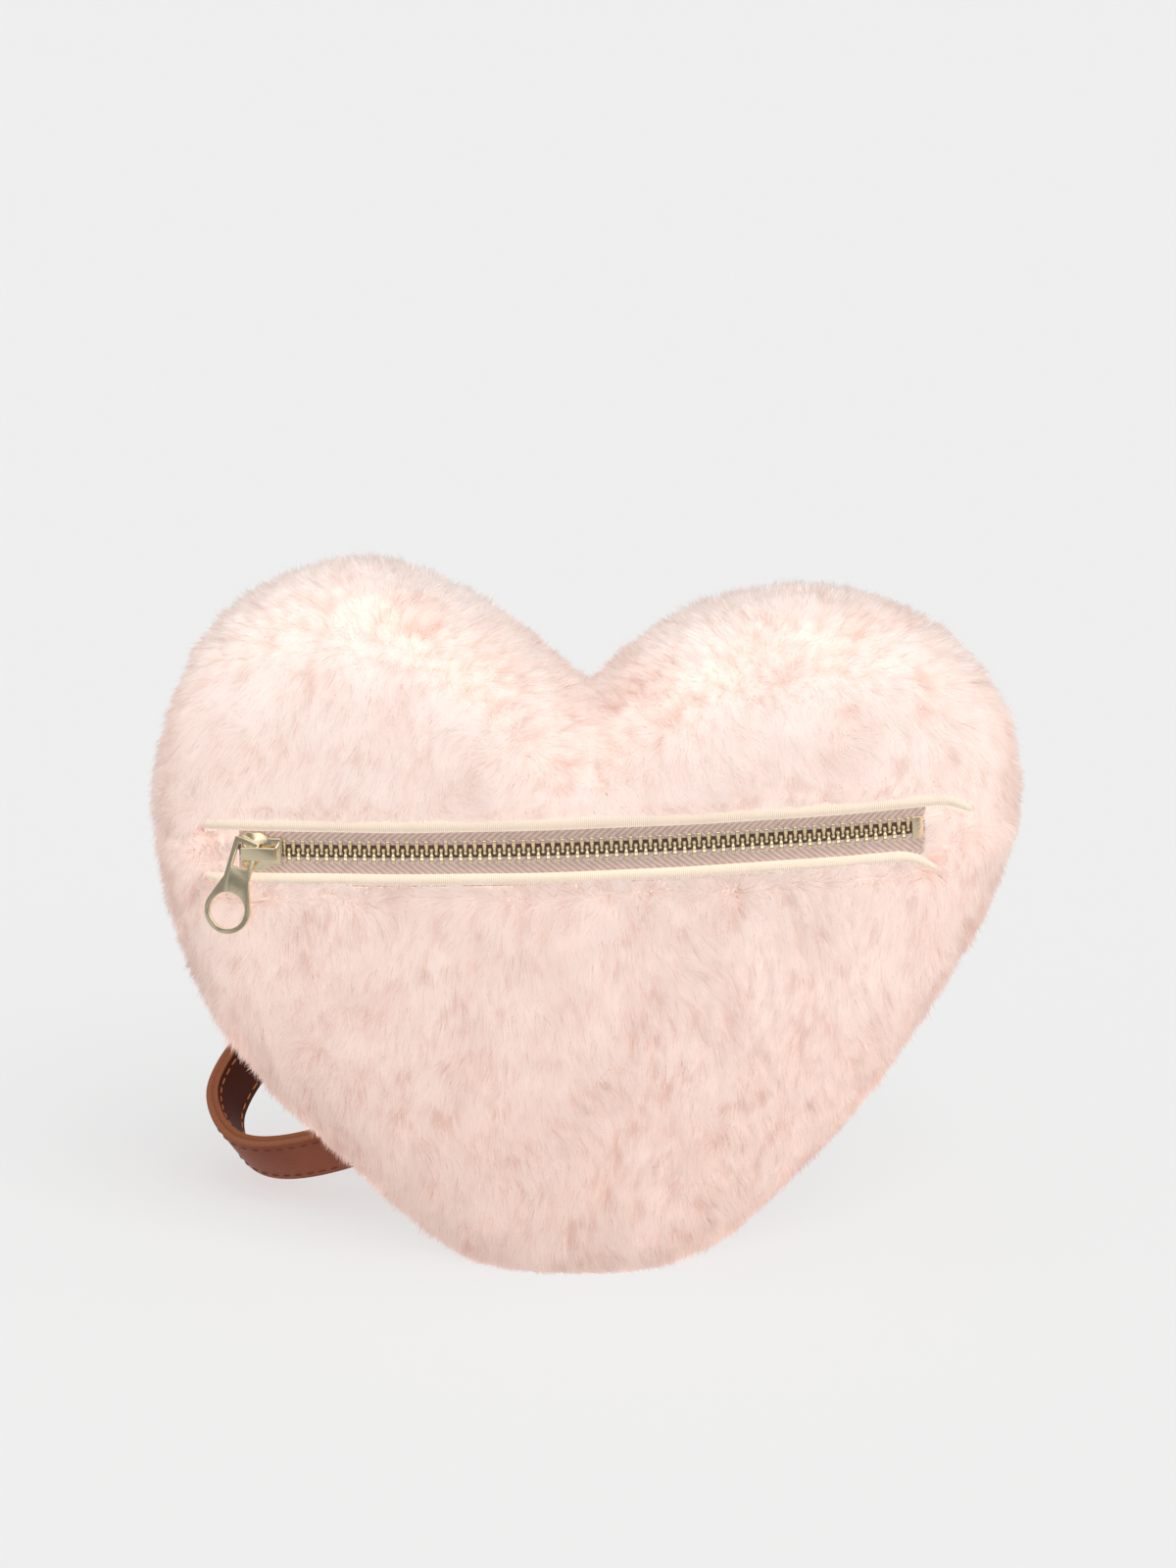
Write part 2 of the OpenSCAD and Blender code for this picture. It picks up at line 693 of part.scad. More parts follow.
// A layer of the strap, between two distances from the strap's middle
module strap_layer(from, to) {
    points = [for (n = [0:strap_rings - 1]) let (
        w = strap_across(n) * strap_w * half,
        f = cross(strap_tangent(n), strap_across(n)),
        c = strap_path[n])
        each [c + f * from - w, c + f * to - w, c + f * to + w, c + f * from + w]];
    faces = [for (n = [0:strap_rings - 1]) for (k = [0:3]) let (
        a = n * 4 + k, b = n * 4 + (k + 1) % 4,
        c = ((n + 1) % strap_rings) * 4 + k, d = ((n + 1) % strap_rings) * 4 + (k + 1) % 4)
        each [[a, b, c], [b, d, c]]];
    polyhedron(points, faces);
}

// Frame of the rivet: z out of the back
module rivet_frame() {
    translate(rivet_at) rotate([-90 - lean, 0, 0]) children();
}

rivet_grip = 2 * branch_off + strap_t;
module rivet_hole() {
    rivet_frame() cylinder(d = rivet_d + 2 * pivot_gap, h = rivet_grip + 2 * over, center = true);
}

module strap_outer() {
    color("#7D4134") difference() {
        strap_layer(strap_glue * half, strap_t * half);
        rivet_hole();
    }
}

module strap_inner() {
    color("#3E1C14") difference() {
        strap_layer(-strap_t * half, -strap_glue * half);
        rivet_hole();
    }
}

module strap_rivet() {
    color("#CDBF8E") rivet_frame() {
        cylinder(d = rivet_d, h = rivet_grip + rivet_cap_t, center = true);
        for (end = [0, 1]) mirror([0, 0, end])
            translate([0, 0, rivet_grip * half + pivot_gap])
                cylinder(d1 = rivet_cap_d, d2 = rivet_cap_d - rivet_cap_t, h = rivet_cap_t);
    }
}

front_upper_panel();
front_lower_panel();
back_panel();
wadding_front();
wadding_back();
lining_front();
lining_back();
piping_upper();
piping_lower();
zip_tape_upper();
zip_tape_lower();
zip_teeth_upper();
zip_teeth_lower();
zip_top_stops();
zip_bottom_stop();
zip_slider();
zip_puller();
strap_tab();
strap_ring();
strap_outer();
strap_inner();
strap_rivet();
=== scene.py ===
"""A heart shaped plush purse with a metal zip across its front and a leather wrist strap.

Run as a script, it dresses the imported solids: a deep pile over padded panels, woven tapes,
ribbed piping, metal teeth, a slider with its puller, and a stitched leather strap."""

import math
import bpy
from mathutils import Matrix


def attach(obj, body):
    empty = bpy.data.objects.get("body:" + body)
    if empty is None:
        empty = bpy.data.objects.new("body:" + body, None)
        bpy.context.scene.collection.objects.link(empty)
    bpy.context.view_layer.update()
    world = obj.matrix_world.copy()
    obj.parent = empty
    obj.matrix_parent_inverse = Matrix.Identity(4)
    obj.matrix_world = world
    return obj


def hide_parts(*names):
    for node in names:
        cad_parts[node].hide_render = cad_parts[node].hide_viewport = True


bl_info = {
    "name": "Heart shaped plush purse",
    "version": (1, 0, 0),
    "blender": (4, 5, 0),
    "location": "3D View > Sidebar > Purse",
    "description": "Builds a heart shaped plush purse, one piece at a time",
    "category": "Object",
}

import bmesh
import bpy
import numpy as np
from mathutils import Vector

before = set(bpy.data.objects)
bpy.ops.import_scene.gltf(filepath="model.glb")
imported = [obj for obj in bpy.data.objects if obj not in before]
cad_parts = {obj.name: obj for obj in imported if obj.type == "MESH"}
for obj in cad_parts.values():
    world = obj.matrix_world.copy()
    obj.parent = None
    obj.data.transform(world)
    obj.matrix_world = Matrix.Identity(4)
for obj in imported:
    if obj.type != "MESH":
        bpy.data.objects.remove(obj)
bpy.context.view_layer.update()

# Lengths below are in millimetres, as in the part's source. add_mesh() turns them into metres.
MM = 0.001
TURN = 2 * math.pi
HEART_W, HEART_H = 220.0, 186.0
FRONT_DEPTH, BACK_DEPTH = 42.0, 38.0
LEAN, TIP_FLAT, SEAM_BACK = 7.0, 5.0, 4.0
FUR_T, WADDING_T, LINING_T, LAYER_GAP = 7.0, 5.0, 1.2, 0.3
CHAIN_L, TOOTH_PITCH, TOOTH_W, TOOTH_T = 182.0, 2.54, 1.16, 2.6
TAPE_H, TAPE_T, TAPE_EDGE, TAPE_TAIL, TAPE_DEPTH = 13.0, 0.7, 1.7, 4.5, 4.4
ZIP_Z, ZIP_X, ZIP_RISE, TAPE_SHOWN = 120.5, -1.5, 2.0, 11.2
PIPING_UPPER_D, PIPING_LOWER_D = 3.8, 3.0
# The left and the right end of each strip: where along the zip it starts to turn, where it goes
# under the pile, and how far it has drawn in towards the zip by then.
UPPER_ENDS = ((93.0, 101.0, 0.8), (93.0, 104.0, 4.0))
LOWER_ENDS = ((93.0, 101.0, 0.4), (82.0, 95.5, -5.5))
PIPING_TAPER = 8.0
SLIDER_L, PLATE_T, PLATE_GAP = 11.0, 1.1, 0.2
BRIDGE_L, BRIDGE_T, BRIDGE_GAP = 9.3, 0.9, 2.4
PULLER_L, PULLER_RING_D, PULLER_T, PULLER_LIFT = 16.0, 12.5, 1.3, 7.0
STOP_L, STOP_GAP, STOP_SHOWN = 3.2, 0.4, 0.6
STRAP_REACH, STRAP_W, STRAP_LAYER_T, STRAP_GLUE, RIVET_L = 100.0, 17.0, 1.7, 0.06, 10.0
RIVET_D, RIVET_CAP_D, RIVET_CAP_T = 3.0, 8.0, 1.0
RING_WIRE_D, RING_IN_W, RING_IN_H = 3.0, 19.0, 11.0
TAB_W, TAB_L, TAB_T, TAB_Z, TAB_X, TAB_TURN = 17.0, 20.0, 2.2, 104.0, 14.0, 50.0
HEART_SHARES = np.array([
    (0.004, 0.816), (0.062, 0.876), (0.159, 0.940), (0.283, 0.959), (0.407, 0.905),
    (0.487, 0.789), (0.491, 0.627), (0.412, 0.428), (0.283, 0.212), (0.150, 0.063),
    (0.027, 0.000), (-0.106, 0.015), (-0.257, 0.152), (-0.407, 0.330), (-0.482, 0.519),
    (-0.500, 0.724), (-0.429, 0.919), (-0.274, 1.000), (-0.133, 0.938), (-0.049, 0.859)])
STRAP_SHARES = np.array([
    (-0.23, -0.05, 0.61, 0.35), (-0.37, -0.10, 0.38, 0.60), (-0.51, -0.13, 0.21, 0.85),
    (-0.68, -0.12, 0.085, 1.00), (-0.87, -0.07, 0.008, 1.00), (-0.97, 0.02, 0.014, 1.00),
    (-1.01, 0.14, 0.085, 1.00), (-0.995, 0.20, 0.15, 1.00), (-0.925, 0.27, 0.27, 1.00),
    (-0.73, 0.32, 0.48, 0.85), (-0.49, 0.26, 0.69, 0.60), (-0.27, 0.13, 0.81, 0.35)])

HEART_MID = np.array([ZIP_X, ZIP_Z])
TO_FLOOR = (0, SEAM_BACK, -TIP_FLAT)
ZIP_MIDDLE = (ZIP_X, TAPE_DEPTH - FRONT_DEPTH, ZIP_Z)
ZIP_HALF = CHAIN_L / 2 + TAPE_TAIL
ZIP_END_SHARE = ZIP_HALF / (HEART_W / 2 * 0.985)
ZIP_DROP = FRONT_DEPTH * (1 - (1 - ZIP_END_SHARE ** 2) ** (1 / 3))
ZIP_R = (ZIP_HALF ** 2 + ZIP_DROP ** 2) / (2 * ZIP_DROP)
PIPING_UPPER_Z = (TAPE_SHOWN + PIPING_UPPER_D) / 2
PIPING_LOWER_Z = (TAPE_SHOWN + PIPING_LOWER_D) / 2
SLOT_UP = PIPING_UPPER_Z + PIPING_UPPER_D / 2 + LAYER_GAP
SLOT_LOW = PIPING_LOWER_Z + PIPING_LOWER_D / 2 + LAYER_GAP
MOUTH_HALF_L = CHAIN_L / 2 + 0.8
TEETH_ROOM = CHAIN_L - 2 * (STOP_L + STOP_GAP)
TEETH_COUNT = int((TEETH_ROOM - TOOTH_W) / TOOTH_PITCH) + 1
TEETH_START = -(TEETH_COUNT - 1) * TOOTH_PITCH / 2
STOP_AT = TEETH_START - TOOTH_W / 2 - STOP_GAP - STOP_L / 2
SLIDER_AT = STOP_AT - STOP_L / 2 + STOP_SHOWN + SLIDER_L / 2
PLATE_IN = TOOTH_T / 2 + PLATE_GAP
PLATE_OUT = PLATE_IN + PLATE_T
PULLER_REACH = PULLER_L + PULLER_RING_D
PULLER_BACK = PLATE_OUT + (BRIDGE_GAP - PULLER_T) / 2
SLIDER_PIVOT = (BRIDGE_L - BRIDGE_T) / 2 - SLIDER_AT
STRAP_T = 2 * STRAP_LAYER_T + STRAP_GLUE
RING_R = RING_WIRE_D / 2
FOLD_R = RING_R + 2 * LAYER_GAP + STRAP_T / 2
TAB_DROP = FOLD_R + STRAP_T / 2
TAB_OUT = BACK_DEPTH + 2 * LAYER_GAP + TAB_DROP


def unit(v):
    """Each vector over its own length."""
    return v / np.maximum(np.linalg.norm(v, axis=-1, keepdims=True), 1e-12)


def mix(a, b, t):
    """The straight line from a at t 0 to b at t 1."""
    return a + (b - a) * t


def ease(t):
    """The cubic 3t^2 - 2t^3 of t held between 0 and 1."""
    t = np.clip(t, 0, 1)
    return t * t * (3 - 2 * t)


def turned(p, degrees, axis):
    """Points turned about X, Y or Z: the angle's sine and cosine mix the two other coordinates."""
    c, s = math.cos(math.radians(degrees)), math.sin(math.radians(degrees))
    i, j = {"x": (1, 2), "y": (2, 0), "z": (0, 1)}[axis]
    p = np.array(p, float)
    p[..., i], p[..., j] = c * p[..., i] - s * p[..., j], s * p[..., i] + c * p[..., j]
    return p


def stance(p):
    """The heart's own frame to the floor's: lean back about X, then sink the tip's flat."""
    return turned(p, -LEAN, "x") + TO_FLOOR


def zip_place(along, out, up):
    """A place at a length along the zip's arc: the point turns round the arc's centre, a radius
    behind the tapes, by length over radius. The arc rises to the right and leans with the heart."""
    along, out, up = np.broadcast_arrays(*(np.asarray(v, float) for v in (along, out, up)))
    angle, r = along / ZIP_R, ZIP_R + out
    local = np.stack([r * np.sin(angle), ZIP_R - r * np.cos(angle), up], -1)
    return stance(turned(local, -ZIP_RISE, "y") + ZIP_MIDDLE)


def zip_coords(p):
    """The reverse of zip_place: length along the arc, distance outwards and height of a point."""
    q = turned(turned(p - TO_FLOOR, LEAN, "x") - ZIP_MIDDLE, ZIP_RISE, "y")
    back = ZIP_R - q[..., 1]
    return ZIP_R * np.arctan2(q[..., 0], back), np.hypot(q[..., 0], back) - ZIP_R, q[..., 2]


def smooth_line(points, steps, closed=True):
    """The Catmull-Rom curve: between two points, the cubic that also leans on their
    neighbours."""
    p = np.asarray(points, float)
    t = (np.arange(steps) / steps)[None, :, None]
    if closed:
        a, b, c, d = (np.roll(p, s, 0)[:, None] for s in (1, 0, -1, -2))
    else:
        q = np.concatenate([2 * p[:1] - p[1:2], p, 2 * p[-1:] - p[-2:-1]])
        a, b, c, d = (q[s:len(q) - 3 + s][:, None] for s in range(4))
    curve = (2 * b + (c - a) * t + (2 * a - 5 * b + 4 * c - d) * t * t
             + (3 * b - a - 3 * c + d) * t ** 3) / 2
    curve = curve.reshape(-1, p.shape[-1])
    return curve if closed else np.concatenate([curve, p[-1:]])


WAVE_SPREAD = (0.6, 1.5)


def waves(p, length, seed, parts=1, count=9, level=3.2):
    """Smooth noise from about -1 to 1: a sum of sine waves of about that wave length, each with its
    own direction and phase, over their usual height, for as many independent parts as asked."""
    rng = np.random.default_rng(seed)
    total = np.zeros((parts,) + p.shape[:-1])
    for part in range(parts):
        way = unit(rng.normal(size=(count, 3)))
        k = way * (TURN / length) * rng.uniform(*WAVE_SPREAD, (count, 1))
        phase = rng.uniform(0, TURN, count)
        for n in range(count):
            total[part] += np.sin(p @ k[n] + phase[n])
    total /= level
    return total[0] if parts == 1 else np.moveaxis(total, 0, -1)


def new_piece(name, mesh, material, body, node):
    """An object at the origin for a mesh and its material: it rides on a body and replaces a node.
    """
    piece = bpy.data.objects.new(name, mesh)
    bpy.context.scene.collection.objects.link(piece)
    mesh.materials.append(material)
    if body:
        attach(piece, body)
    if node:
        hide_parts(node)
    return piece


def add_mesh(name, points, quads=None, triangles=None, material=None, body="purse", uv=None,
             tones=None, normals=None, node=None):
    """A smooth piece from points in millimetres, four and three sided faces, one UV pair and any
    further numbers for each point."""
    points = np.asarray(points, float).reshape(-1, 3)
    corners, starts, first = [], [], 0
    for count, faces in ((4, quads), (3, triangles)):
        if faces is not None and len(faces):
            faces = np.asarray(faces, np.int32).reshape(-1, count)
            corners.append(faces.ravel())
            starts.append(first + np.arange(len(faces)) * count)
            first += faces.size
    corners, starts = (np.concatenate(v).astype(np.int32) for v in (corners, starts))
    mesh = bpy.data.meshes.new(name)
    mesh.vertices.add(len(points))
    mesh.vertices.foreach_set("co", (points * MM).astype(np.float32).ravel())
    mesh.loops.add(len(corners))
    mesh.loops.foreach_set("vertex_index", corners)
    mesh.polygons.add(len(starts))
    mesh.polygons.foreach_set("loop_start", starts)
    mesh.polygons.foreach_set("use_smooth", np.ones(len(starts), bool))
    if uv is not None:
        layer = mesh.uv_layers.new(name="UVMap")
        layer.data.foreach_set("uv", np.asarray(uv, np.float32).reshape(-1, 2)[corners].ravel())
    for key, values in (tones or {}).items():
        mesh.attributes.new(key, "FLOAT", "POINT").data.foreach_set(
            "value", np.asarray(values, np.float32).ravel())
    mesh.update()
    if mesh.validate():
        raise RuntimeError(f"{name} had faces that Blender had to mend")
    if normals is not None:
        mesh.normals_split_custom_set_from_vertices(
            np.asarray(normals, np.float32).reshape(-1, 3))
    return new_piece(name, mesh, material, body, node)


def grid_faces(rows, columns, wrap_rows=False, wrap_columns=False, start=0):
    """Four sided faces of a grid of points, joined round where an edge is wrapped."""
    i = np.arange(rows if wrap_rows else rows - 1)[:, None]
    j = np.arange(columns if wrap_columns else columns - 1)[None, :]
    a, b = i * columns + j, i * columns + (j + 1) % columns
    below = ((i + 1) % rows) * columns
    c, d = below + (j + 1) % columns, below + j
    return np.stack(np.broadcast_arrays(a, b, c, d), -1).reshape(-1, 4) + start


class Look:
    """A node tree with short calls for its nodes. Where an input is asked for, a socket is joined
    to it and anything else becomes its value."""

    def __init__(self, tree):
        self.tree = tree

    def feed(self, target, source):
        """Joins a socket to an input, or sets the input's value."""
        if isinstance(source, bpy.types.NodeSocket):
            self.tree.links.new(source, target)
        elif target.type == "RGBA":
            target.default_value = (*source[:3], 1)
        else:
            target.default_value = source

    def node(self, kind, **settings):
        """A node with its inputs or settings by name."""
        made = self.tree.nodes.new("ShaderNode" + kind)
        for key, value in settings.items():
            if key in made.inputs:
                self.feed(made.inputs[key], value)
            else:
                setattr(made, key, value)
        return made

    def number(self, operation, a, b=None):
        """The result of one sum."""
        made = self.node("Math", operation=operation)
        for index, value in enumerate((a, b)):
            if value is not None:
                self.feed(made.inputs[index], value)
        return made.outputs[0]

    def mix(self, share, a, b, blend="MIX"):
        """A colour between a and b by share."""
        made = self.node("Mix", data_type="RGBA", blend_type=blend)
        for index, value in ((0, share), (6, a), (7, b)):
            self.feed(made.inputs[index], value)
        return made.outputs[2]

    def times(self, a, b):
        """Two colours multiplied."""
        return self.mix(1.0, a, b, "MULTIPLY")

    def ramp(self, source, *stops):
        """A ramp through stops, each a place and a grey or a colour."""
        made = self.node("ValToRGB", Fac=source)
        elements = made.color_ramp.elements
        while len(elements) < len(stops):
            elements.new(0.5)
        for element, (place, value) in zip(elements, stops):
            element.position = place
            element.color = (*(value if isinstance(value, tuple) else (value,) * 3), 1)
        return made.outputs[0]

    def place(self):
        """The place on the piece, in metres."""
        return self.node("TexCoord").outputs["Object"]

    def apart(self, source):
        """The three numbers of a vector."""
        return self.node("SeparateXYZ", Vector=source).outputs

    def noise(self, scale, detail=2.0, distortion=0.0, source=None):
        """Noise of that many waves a metre."""
        source = self.place() if source is None else source
        return self.node("TexNoise", Vector=source, Scale=scale, Detail=detail,
                         Distortion=distortion).outputs["Fac"]

    def wave(self, source, length):
        """The sine of a length, one turn for each wave length."""
        return self.number("SINE", self.number("MULTIPLY", source, TURN / length))

    def told(self, name):
        """A number that the mesh holds for each point."""
        return self.node("Attribute", attribute_name=name).outputs["Fac"]


class Surface(Look):
    """A material with a shader whose even numbers sit on its own sockets."""

    def __init__(self, name, colour, roughness, metallic=0.0, sheen=0.0, specular=0.5):
        self.material = bpy.data.materials.new(name)
        self.material.use_nodes = True
        super().__init__(self.material.node_tree)
        self.inputs = self.tree.nodes["Principled BSDF"].inputs
        for key, value in (("Base Color", colour), ("Roughness", roughness), ("Metallic", metallic),
                           ("Sheen Weight", sheen), ("Specular IOR Level", specular)):
            self.feed(self.inputs[key], value)

    def colour(self, source):
        """Gives the surface its colour."""
        self.feed(self.inputs["Base Color"], source)

    def rough(self, source, low, high):
        """Spreads a number over a span of roughness."""
        span = self.node("MapRange", Value=source)
        span.inputs["To Min"].default_value, span.inputs["To Max"].default_value = low, high
        self.feed(self.inputs["Roughness"], span.outputs[0])

    def bump(self, height, strength, distance):
        """Raises the surface by a height, in metres at height 1."""
        made = self.node("Bump", Strength=strength, Distance=distance, Height=height)
        self.feed(self.inputs["Normal"], made.outputs[0])


def shaded(colour, share):
    """A colour darker or lighter by a share, no lighter than white."""
    return tuple(min(1, c * share) for c in colour)


def length_setting(name, description, default, low, high):
    """A length that a user can change, in metres."""
    return bpy.props.FloatProperty(name=name, description=description, default=default, min=low,
                                   max=high, subtype="DISTANCE", unit="LENGTH")


def colour_setting(name, description, default):
    """A colour that a user can change."""
    return bpy.props.FloatVectorProperty(name=name, description=description, default=default,
                                         subtype="COLOR", size=3, min=0, max=1)


class PurseSettings(bpy.types.PropertyGroup):
    """Sizes and colours that a user would change."""

    pile_length: length_setting("Pile length", "Length of a fibre of the pile", 0.0084, 0.004, 0.02)
    pile_width: length_setting("Fibre width", "Width of a lock of fibres at its root", 0.00040,
                               0.0001, 0.002)
    clump_size: length_setting("Clump size", "Distance between the clumps of the pile", 0.0042,
                               0.001, 0.02)
    stitch_length: length_setting("Stitch length", "Distance from a stitch to the next", 0.0034,
                                  0.001, 0.01)
    pile_lift: bpy.props.FloatProperty(
        name="Pile lift", description="Angle that the fibres stand up at", default=math.radians(50),
        min=0.1, max=1.57, subtype="ANGLE", unit="ROTATION")
    front_density: bpy.props.FloatProperty(
        name="Front density", description="Fibres in a square millimetre of the front",
        default=9.0, min=0.5, max=20)
    back_density: bpy.props.FloatProperty(
        name="Back density", description="Fibres in a square millimetre of the back",
        default=5.0, min=0.5, max=20)
    fur_light: colour_setting("Fur, cream", "Colour of the fur's upper part",
                              (0.990, 0.900, 0.855))
    fur_pink: colour_setting("Fur, pink", "Colour of the fur's lower part", (0.945, 0.725, 0.650))
    piping_colour: colour_setting("Piping", "Colour of the ribbed piping", (0.890, 0.755, 0.635))
    tape_colour: colour_setting("Tape", "Colour of the zip's tapes", (0.515, 0.407, 0.365))
    metal_colour: colour_setting("Metal", "Colour of the zip's metal", (0.875, 0.762, 0.540))
    leather_colour: colour_setting("Leather", "Colour of the strap's outer face",
                                   (0.165, 0.045, 0.024))
    # The inner face is its own darker leather and, as painted shade, darker still for the shade
    # that the purse and the strap cast on it.
    leather_inside_and_shade: colour_setting("Leather inside", "Colour of the strap's inner face",
                                 (0.038, 0.009, 0.005))
    leather_edge: colour_setting("Leather edge", "Colour of the strap's burnished edge",
                                 (0.200, 0.068, 0.032))
    thread_colour: colour_setting("Thread", "Colour of the strap's thread", (0.300, 0.095, 0.035))
    floor_colour: colour_setting("Floor", "Colour of the floor and the backdrop",
                                 (0.863, 0.863, 0.863))


class PieceOperator(bpy.types.Operator):
    """Makes one piece of the purse."""

    bl_options = {"REGISTER"}

    def execute(self, context):
        """Builds with the scene's settings."""
        self.build(context.scene.purse)
        return {"FINISHED"}


# Each lamp's direction, strength, spread in degrees and whether it casts a shadow
LAMPS = {"key_light": ((-0.35, 0.75, -1.0), 0.50, 40, True),
         "top_fill": ((-0.05, 0.45, -1.0), 2.90, 8, False),
         "front_fill": ((0.15, 1.0, -0.3), 0.30, 8, False),
         "floor_bounce": ((0.0, 0.6, 1.0), 1.20, 8, False),
         "left_fill": ((1.0, 0.1, 0.5), 1.40, 8, False),
         "right_fill": ((-1.0, 0.1, 0.5), 1.90, 8, False),
         "back_fill": ((0.1, -1.0, 0.12), 1.90, 8, False)}
# What metal mirrors, from the floor (0) up to the zenith (1): a pale floor, the studio's dark front
# and the bright soft boxes overhead
MIRRORED = ((0.0, 0.45), (0.38, 0.42), (0.48, 0.34), (0.53, 0.15), (0.60, 0.16), (0.66, 0.75),
            (0.72, 1.0), (0.80, 1.0), (0.92, 0.6))
MIRRORED_GAIN = 1.6
SKY_LIGHT = ((0.45, 0.22), (0.95, 0.32))
# The lamps add up to more than one on the floor, so its paper is darker than it shows.
FLOOR_SHARE, FLOOR_HALF = 0.775, 6000
CAMERA_AWAY, CAMERA_LENS_A_METRE, CAMERA_RISE, CAMERA_AIM_Z = 4.0, 87.73, 18, 0.1308
SENSOR_W, CAMERA_CLIP = 36, (0.05, 30)


class PURSE_OT_stage(PieceOperator):
    """Sets the floor, the soft light and the camera"""

    bl_idname = "purse.stage"
    bl_label = "Stage"

    def build(self, settings):
        """A flat floor, a pale world, one soft sun, six fills that cast no shadow, and a long lens
        18 degrees above the floor."""
        paper = Surface("floor_paper", shaded(settings.floor_colour, FLOOR_SHARE), 0.9,
                        specular=0.0)
        corners = np.array([(-1, -1, 0), (1, -1, 0), (1, 1, 0), (-1, 1, 0)]) * FLOOR_HALF
        floor = add_mesh("floor", corners, quads=[(0, 1, 2, 3)], material=paper.material, body=None)
        floor.visible_glossy = False
        floor.visible_diffuse = False
        self.world(settings)
        for name, lamp in LAMPS.items():
            self.lamp(name, *lamp)
        self.camera()
        bpy.context.scene.view_settings.view_transform = "Standard"

    def world(self, settings):
        """The camera sees the backdrop's colour, metal mirrors a studio, the rest a faint sky."""
        world = bpy.data.worlds.new("studio")
        bpy.context.scene.world = world
        world.use_nodes = True
        look = Look(world.node_tree)
        up = look.apart(look.node("TexCoord").outputs["Generated"])[2]
        height = look.number("ADD", look.number("MULTIPLY", up, 0.5), 0.5)
        mirrored = look.times(look.ramp(height, *MIRRORED), (MIRRORED_GAIN,) * 3)
        path = look.node("LightPath").outputs
        glow = look.node("Background", Color=look.mix(
            path["Is Glossy Ray"], look.ramp(height, *SKY_LIGHT), mirrored))
        seen = look.node("Background", Color=tuple(settings.floor_colour))
        chosen = look.node("MixShader", Fac=path["Is Camera Ray"])
        look.feed(chosen.inputs[1], glow.outputs[0])
        look.feed(chosen.inputs[2], seen.outputs[0])
        look.feed(look.tree.nodes["World Output"].inputs["Surface"], chosen.outputs[0])

    def lamp(self, name, towards, strength, spread, shades):
        """A sun that shines along a direction and that metal doesn't mirror."""
        light = bpy.data.lights.new(name, "SUN")
        light.energy, light.angle = strength, math.radians(spread)
        light.use_shadow = shades
        lamp = bpy.data.objects.new(name, light)
        lamp.rotation_mode = "QUATERNION"
        lamp.rotation_quaternion = Vector(towards).to_track_quat("-Z", "Y")
        lamp.visible_glossy = False
        bpy.context.scene.collection.objects.link(lamp)

    def camera(self):
        """A long lens that looks down at the purse."""
        lens = bpy.data.cameras.new("camera")
        lens.lens, lens.sensor_width = CAMERA_LENS_A_METRE * CAMERA_AWAY, SENSOR_W
        lens.clip_start, lens.clip_end = CAMERA_CLIP
        camera = bpy.data.objects.new("camera", lens)
        rise = math.radians(CAMERA_RISE)
        back = Vector((0, -math.cos(rise), math.sin(rise)))
        camera.location = Vector((0, 0, CAMERA_AIM_Z)) + CAMERA_AWAY * back
        camera.rotation_mode = "QUATERNION"
        camera.rotation_quaternion = (-back).to_track_quat("-Z", "Y")
        bpy.context.scene.collection.objects.link(camera)
        bpy.context.scene.camera = camera


OUTLINE_STEPS, SLOT_CLEAR, MOUTH_LAP, PANEL_ROWS, FILLING_ROWS = 8, 0.4, 2, 26, 18


def heart_rim(inset):
    """The heart's outline drawn in by an inset, along the normal of the line through its
    neighbours."""
    line = smooth_line(HEART_SHARES * (HEART_W, HEART_H), OUTLINE_STEPS)
    d = unit(np.roll(line, -1, 0) - np.roll(line, 1, 0))
    return line - inset * np.stack([-d[:, 1], d[:, 0]], -1)


def puffed(rim, share, inset, depth, side):
    """Points of the puffed surface: a share of the way from the middle to the rim, as deep as the
    depth times the cube root of one less the square of the share."""
    flat = HEART_MID + (rim - HEART_MID) * share[..., None]
    y = side * (depth - inset) * np.cbrt(np.maximum(0, 1 - share ** 2))
    return stance(np.stack([flat[..., 0], y, flat[..., 1]], -1))


# How far the pocket's slot runs past the zip, how far the fur's backing stays over the floor, and
# the share of the heart's middle height where the point is that its surfaces face away from
POCKET_PAST, OVER_FLOOR, MIDDLE_SHARE = 0.6, 0.4, 0.96


def panel_shares(rim, panel, rows, low, high):
    """Shares of each spoke from where it leaves the zip's slot to the rim, closer near the rim. The
    upper panel takes the spokes above the zip's line, the lower one those below, the back all."""
    rise = math.radians(ZIP_RISE)
    q = rim - HEART_MID
    up = q[:, 1] * math.cos(rise) - q[:, 0] * math.sin(rise)
    wide = np.maximum(np.abs(q[:, 0]), 1e-6)
    start = np.zeros(len(rim))
    if panel == "pocket":
        start = np.minimum(high / np.maximum(np.abs(up), 1e-6), (ZIP_HALF + POCKET_PAST) / wide)
        start = np.minimum(start, 1)
    elif panel != "back":
        up, edge = (up, high) if panel == "upper" else (-up, low)
        start = np.minimum(edge / np.maximum(up, 1e-6), (MOUTH_HALF_L - MOUTH_LAP) / wide)
        start = np.where(up < 0, 1.0, np.minimum(start, 1.0))
    t = np.sin(np.linspace(0, math.pi / 2, rows))[:, None]
    return start + (1 - start) * t


def panel_surface(panel, inset, rows=PANEL_ROWS, half=0):
    """The outer surface of one panel: a grid of rows from the zip or the middle out to the rim."""
    rim = heart_rim(inset)
    side, depth = (1, BACK_DEPTH) if panel == "back" else (-1, FRONT_DEPTH)
    low, high = (half or slot + SLOT_CLEAR for slot in (SLOT_LOW, SLOT_UP))
    share = panel_shares(rim, panel, rows, low, high)
    p = puffed(np.broadcast_to(rim, (rows,) + rim.shape), share, inset, depth, side)
    if inset < FUR_T + LAYER_GAP:
        p[..., 2] = np.maximum(p[..., 2], OVER_FLOOR)
    return p, side


